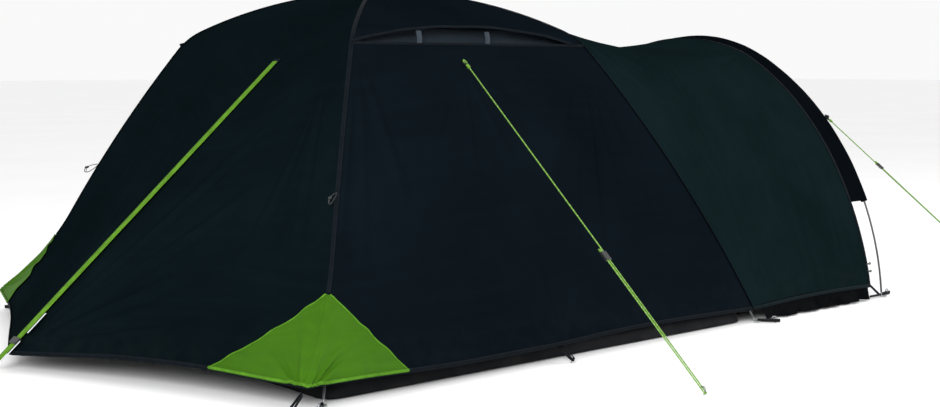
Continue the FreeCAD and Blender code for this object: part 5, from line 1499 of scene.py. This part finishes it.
def door_heights(low, top, corner, below, above, step, gap):
    """Heights for rows of cloth with a doorway in it, doubled at its sill and head."""
    low, top = low - gap, top + gap
    tiny = 0.0004
    parts = [np.linspace(below, low - tiny, max(int((low - below) / step), 3)), [low + tiny],
             np.linspace(low + step, top - corner, int((top - corner - low) / step)),
             top - corner + corner * np.sin(np.linspace(0.08, 1, 22) * math.pi / 2) - tiny,
             np.linspace(top + tiny, above, int((above - top) / step))]
    return np.concatenate(parts)


# Each door: its width, the heights of its sill and head, and the radius of its upper corners.
INNER_DOOR = (1.000, 0.125, 0.905, 0.260)
FRONT_DOOR = (0.860, 0.080, 0.935, 0.260)
DOOR_GAP = 0.004


def inner_rear(height, half_x):
    return np.maximum(-half_x - 0.001, rear_ridge(height)[..., 0] - INNER + 0.014)


def inner_canopy_grid():
    """The inner tent's walls and roof as one sheet that starts and ends at its door."""
    top = CROSSING + INNER - 0.016
    height = door_heights(*INNER_DOOR[1:], TUB_TOP + 0.001, top, 0.016, DOOR_GAP)
    gap = arch_half(height, *INNER_DOOR, DOOR_GAP)
    half_x, half_y = inner_half(height)
    rear = inner_rear(height, half_x)
    columns = [stack(half_x, -mix(gap, half_y, share), height) for share in np.linspace(0, 1, 26)]
    columns += [stack(mix(half_x, -half_x, share), -half_y, height) for share in np.linspace(0, 1, 60)[1:]]
    columns += [stack(mix(-half_x, rear, share), -half_y * (1 - share), height)
                for share in np.linspace(0, 1, 34)[1:]]
    right = np.stack(columns, axis=1)
    left = (right * (1, -1, 1))[:, ::-1]
    whole = np.concatenate([right, left[:, 1:]], axis=1)
    puff = noise(whole, (0.3, 0.3, 0.24), 91) * 0.006 + noise(whole, 0.09, 93) * 0.0014
    inward = unit(whole * (1, 1, 0.4) - (0, 0, 0.2))
    slack = 0.004 + np.abs(puff)
    slack[:, :2] = 0
    slack[:, -2:] = 0
    sill = (whole[..., 0] > 0.5 * half_x[0]) & (whole[..., 2] < INNER_DOOR[1] + 0.02)
    slack[sill] = 0.0004
    return whole - inward * slack[..., None]


canopy = add_sheet("inner_canopy_sheet", inner_canopy_grid(), INNER_CLOTH, 0.0007, INNER_HEART)
fix_to(canopy, "tent", ["inner_tent_canopy"])


def door_grid(door, x_at):
    """A door's own cloth, from its sill to its arched head."""
    _, low, top, corner = door
    legs = np.linspace(low, top - corner, 45)
    head = top - corner + (corner - 0.0005) * np.sin(np.linspace(0.05, 1, 45) * math.pi / 2)
    height = np.concatenate([legs, head])[:, None]
    u = np.linspace(-1, 1, 60)[None, :]
    return stack(x_at(height), arch_half(height, *door) * u, height)


def door_outline(door, x_at, grow):
    """A line round an arched doorway, this far outside its edge, from the middle of its sill."""
    width, low, top, corner = door
    step = 0.012
    half, low, top, corner = width / 2 + grow, low - grow, top + grow, corner + grow
    turn = np.linspace(0, math.pi / 2, 24)
    right = [(y, low) for y in np.linspace(0, half, int(half / step))]
    right += [(half, z) for z in np.linspace(low, top - corner, int((top - corner - low) / step))[1:]]
    right += [(half - corner + corner * math.cos(a), top - corner + corner * math.sin(a)) for a in turn[1:]]
    right += [(y, top) for y in np.linspace(half - corner, 0, int((half - corner) / step))[1:]]
    whole = np.array([(-y, z) for y, z in right] + [(y, z) for y, z in right[::-1][1:-1]])
    return stack(x_at(whole[:, 1]), whole[:, 0], whole[:, 1])


def inner_front(height):
    return inner_half(height)[0]


def closed_outline_tape(name, line, lift, width, material, thickness=0.0012):
    """A tape sewn round a doorway's edge, lying in the wall."""
    line = line + np.asarray(lift, float)
    along = unit(np.roll(line, -1, 0) - np.roll(line, 1, 0))
    return add_closed_tape(name, line, np.cross(along, (1.0, 0, 0)), width, material, thickness)


def open_outline_tape(name, line, lift, width):
    """The zip's coil along the part of a doorway that opens."""
    line = line + (lift, 0, 0)
    along = unit(np.gradient(line, axis=0))
    return add_ribbon(name, line, np.cross(along, (1.0, 0, 0)), width, ZIP, 0.0024, INNER_HEART)


def add_inner_door():
    """The inner door, the zip tape round its doorway and the coil."""
    points = door_grid(INNER_DOOR, inner_front)
    points[..., 0] -= 0.002 + 0.004 * np.abs(noise(points, 0.2, 97))
    door = add_sheet("inner_door_sheet", points, INNER_CLOTH, 0.0007, INNER_HEART)
    fix_to(door, "inner_door", ["inner_door"])
    doorway = door_outline(INNER_DOOR, inner_front, 0.010)
    tape = closed_outline_tape("inner_door_zip_tape", doorway, (0.002, 0, 0), 0.020, ZIP_TAPE)
    fix_to(tape, "tent", ())
    # The coil starts at the foot of one leg, so the line is rolled round to begin there.
    sides_and_head = door_outline(INNER_DOOR, inner_front, 0.003)
    sides_and_head = sides_and_head[sides_and_head[:, 2] > INNER_DOOR[1] + 0.01]
    first = int(np.argmin(sides_and_head[:, 2] + sides_and_head[:, 1] * 0.2))
    coil_tape = open_outline_tape("inner_door_zip_coil", np.roll(sides_and_head, -first, 0), 0.003, 0.005)
    fix_to(coil_tape, "tent", ())


add_inner_door()


# ---------------------------------------------------------------- front panel, door and zip

PANEL_X = BAND_X - 0.001
PANEL_HEART = (1.0, 0, 0.4)


def from_doorway(points):
    """How far outside the front doorway's edge a point lies, across the arch or its legs."""
    width, _, top, corner = FRONT_DOOR
    across = np.maximum(np.abs(points[..., 1]) - (width / 2 - corner), 0)
    above = np.maximum(points[..., 2] - (top - corner), 0)
    return np.hypot(across, above) - corner


def panel_half_grid(side):
    """Half the front panel: from the doorway out to the hoop."""
    inset = -0.001
    top = HOOP_HEIGHT + inset - 0.0006
    height = door_heights(*FRONT_DOOR[1:], 0.055, top, 0.014, DOOR_GAP)
    gap = arch_half(height, *FRONT_DOOR, DOOR_GAP)
    outer = HOOP.at_height(np.minimum(height, top), inset)
    u = np.linspace(0, 1, 44)
    y = mix(gap[:, None], np.maximum(outer, gap)[:, None], u[None, :])
    points = stack(PANEL_X + 0 * y, side * y, height[:, None] + 0 * y)
    held = smooth(u / 0.08) * smooth((1 - u) / 0.08)
    ease = noise(points, 0.22, 33) * 0.006 + noise(points, 0.07, 35) * 0.0018
    clear_of_tape = smooth((from_doorway(points) - 0.034) / 0.05)
    points[..., 0] += held[None, :] * clear_of_tape * np.maximum(ease + 0.004, 0)
    return points


for side, word in SIDES:
    half_panel = add_sheet("front_panel_" + word, panel_half_grid(side), TEAL, CLOTH, PANEL_HEART)
    fix_to(half_panel, "porch_hoop", ["front_panel"])
def add_front_seam():
    """The seam between the panel halves, above the doorway."""
    heights = np.linspace(FRONT_DOOR[2] + 0.012, HOOP_HEIGHT - 0.004, 30)
    seam_line = stack(PANEL_X + 0.002, 0 * heights, heights)
    seam = add_ribbon("front_panel_seam", seam_line, (0, 1, 0), 0.014, TEAL_TAPE, 0.0012, PANEL_HEART)
    fix_to(seam, "porch_hoop", ())


add_front_seam()


def front_x(height):
    return PANEL_X + 0 * np.asarray(height)


# Places on the door are (y, z): its folds start on the hinge side.
DOOR_FANS = (
    ((0.42, 0.10), ((0.0, 0.30), (-0.2, 0.16), (0.1, 0.6)), 0.03, 0.006, 0),
    ((0.40, 0.70), ((0.0, 0.52), (-0.1, 0.72)), 0.03, 0.005, 2),
)
def add_front_door():
    """The porch door with its binding, and the zip in the panel round it."""
    points = door_grid(FRONT_DOOR, front_x)
    points[..., 0] += fans(points[..., [1, 2]], DOOR_FANS, 5) + noise(points, 0.2, 39) * 0.004
    door = add_sheet("front_door_sheet", points, TEAL, CLOTH, PANEL_HEART)
    fix_to(door, "front_door", ["front_door"])
    edge = door_outline(FRONT_DOOR, front_x, -0.006)
    binding = closed_outline_tape("front_door_binding", edge, (0.001, 0, 0), 0.012, TEAL_TAPE, 0.0026)
    fix_to(binding, "front_door", ())
    doorway = door_outline(FRONT_DOOR, front_x, 0.020)
    tape = closed_outline_tape("front_zip_tape", doorway, (0.0035, 0, 0), 0.022, ZIP_TAPE)
    fix_to(tape, "porch_hoop", ["front_zip_track"])
    # The coil leaves out the hinge side, where the door is sewn on and swings.
    opening = door_outline(FRONT_DOOR, front_x, 0.005)
    hinge_top = FRONT_DOOR[2] - FRONT_DOOR[3] + 0.07
    hinge_edge = (opening[:, 1] > FRONT_DOOR[0] / 2 - 0.04) & (opening[:, 2] < hinge_top)
    after_hinge = int(np.nonzero(hinge_edge)[0].max()) + 1
    opening = np.roll(opening, -after_hinge, 0)[:len(opening) - int(hinge_edge.sum())]
    coil_tape = open_outline_tape("front_zip_coil", opening, 0.004, 0.006)
    fix_to(coil_tape, "porch_hoop", ())


add_front_door()


# ---------------------------------------------------------------- carried-over hard parts

def dress(names, material):
    """Gives CAD nodes a material, and smooth shading on all but their sharp corners."""
    for name in names:
        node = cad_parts[name]
        node.data.materials.clear()
        node.data.materials.append(material)
        edges = node.modifiers.new("edges", "EDGE_SPLIT")
        edges.split_angle = math.radians(35)
        node.data.polygons.foreach_set("use_smooth", [True] * len(node.data.polygons))


dress([kind + "_" + word + "_slider" for kind in GUYS for _, word in SIDES], BLACK_PLASTIC)
dress(["rear_strap_buckle", "inner_pole_clips", "hoop_wall_hooks", "door_tie_toggles"], BLACK_PLASTIC)
dress(["dome_pole_lower_rods", "dome_pole_upper_rods", "porch_hoop_rods"], ROD)
dress(["dome_pole_ferrules", "porch_hoop_ferrules"], STEEL)
dress(["dome_pole_shock_cords", "porch_hoop_shock_cord", "crossing_tie"], ELASTIC)
dress(["ground_pegs", "hoop_pegs", "corner_ring_pins", "hoop_ring_pins", "lamp_ring"], ZINC)
dress(["front_zip_slider", "inner_zip_slider"], DARK_METAL)

def add_lamp_loop():
    """The webbing loop under the crossing that carries the lamp ring."""
    middle = box_middle("lamp_loop")
    turn = circle(32)
    path = middle + stack(0.0075 * np.sin(turn), 0, 0.0155 * np.cos(turn))
    tape = add_closed_tape("lamp_loop_webbing", path, (0, 1, 0), 0.006, BLACK_TAPE, 0.0014)
    fix_to(tape, "tent", ["lamp_loop"])


add_lamp_loop()


# ---------------------------------------------------------------- floor, light and camera

def add_floor():
    s = Shader("floor")
    patches = s.ramp(s.clouds(0.6, 3.0), 0.0, 1.0, 0.3, 0.7)
    s.set("Base Color", s.blend(patches, (0.92, 0.92, 0.92, 1), (0.95, 0.95, 0.95, 1)))
    s.set("Roughness", 0.9)
    s.set("Specular IOR Level", 0.1)
    corners = [(0, 0), (1, 0), (1, 1), (0, 1)]
    points = [(180 * x - 90, 180 * y - 90, 0) for x, y in corners]
    floor = add_mesh("floor", points, [[0, 1, 2, 3]], corners, s.material)
    floor.location.z = -0.001


def add_light(name, place, target, power, size):
    data = bpy.data.lights.new(name, "AREA")
    data.energy = power
    data.size = size
    light = bpy.data.objects.new(name, data)
    light.location = place
    light.rotation_mode = "QUATERNION"
    light.rotation_quaternion = (Vector(target) - Vector(place)).to_track_quat("-Z", "Y")
    bpy.context.scene.collection.objects.link(light)


def add_world():
    world = bpy.data.worlds.new("studio")
    bpy.context.scene.world = world
    world.use_nodes = True
    background = world.node_tree.nodes["Background"]
    background.inputs["Color"].default_value = (1.0, 1.0, 1.0, 1)
    background.inputs["Strength"].default_value = 0.95


def add_camera():
    """Eye-level view from behind the tent's right, turned towards +X from +Y and tipped down a little."""
    turned = math.radians(40.6686)
    tipped = math.radians(5.7244)
    data = bpy.data.cameras.new("camera")
    data.sensor_width = 36
    data.lens = 52.448
    data.clip_end = 200
    camera = bpy.data.objects.new("camera", data)
    camera.location = (-3.3628, -4.4748, 1.0248)
    camera.rotation_euler = (math.pi / 2 - tipped, 0, -turned)
    bpy.context.scene.collection.objects.link(camera)
    bpy.context.scene.camera = camera


add_floor()
add_light("key", (-5.2, -5.0, 3.4), (0, 0, 0.5), 460, 3.0)
add_light("front_fill", (6.0, -4.0, 3.0), (1.0, 0, 0.5), 200, 4.0)
add_world()
add_camera()
bpy.context.scene.view_settings.view_transform = "Standard"
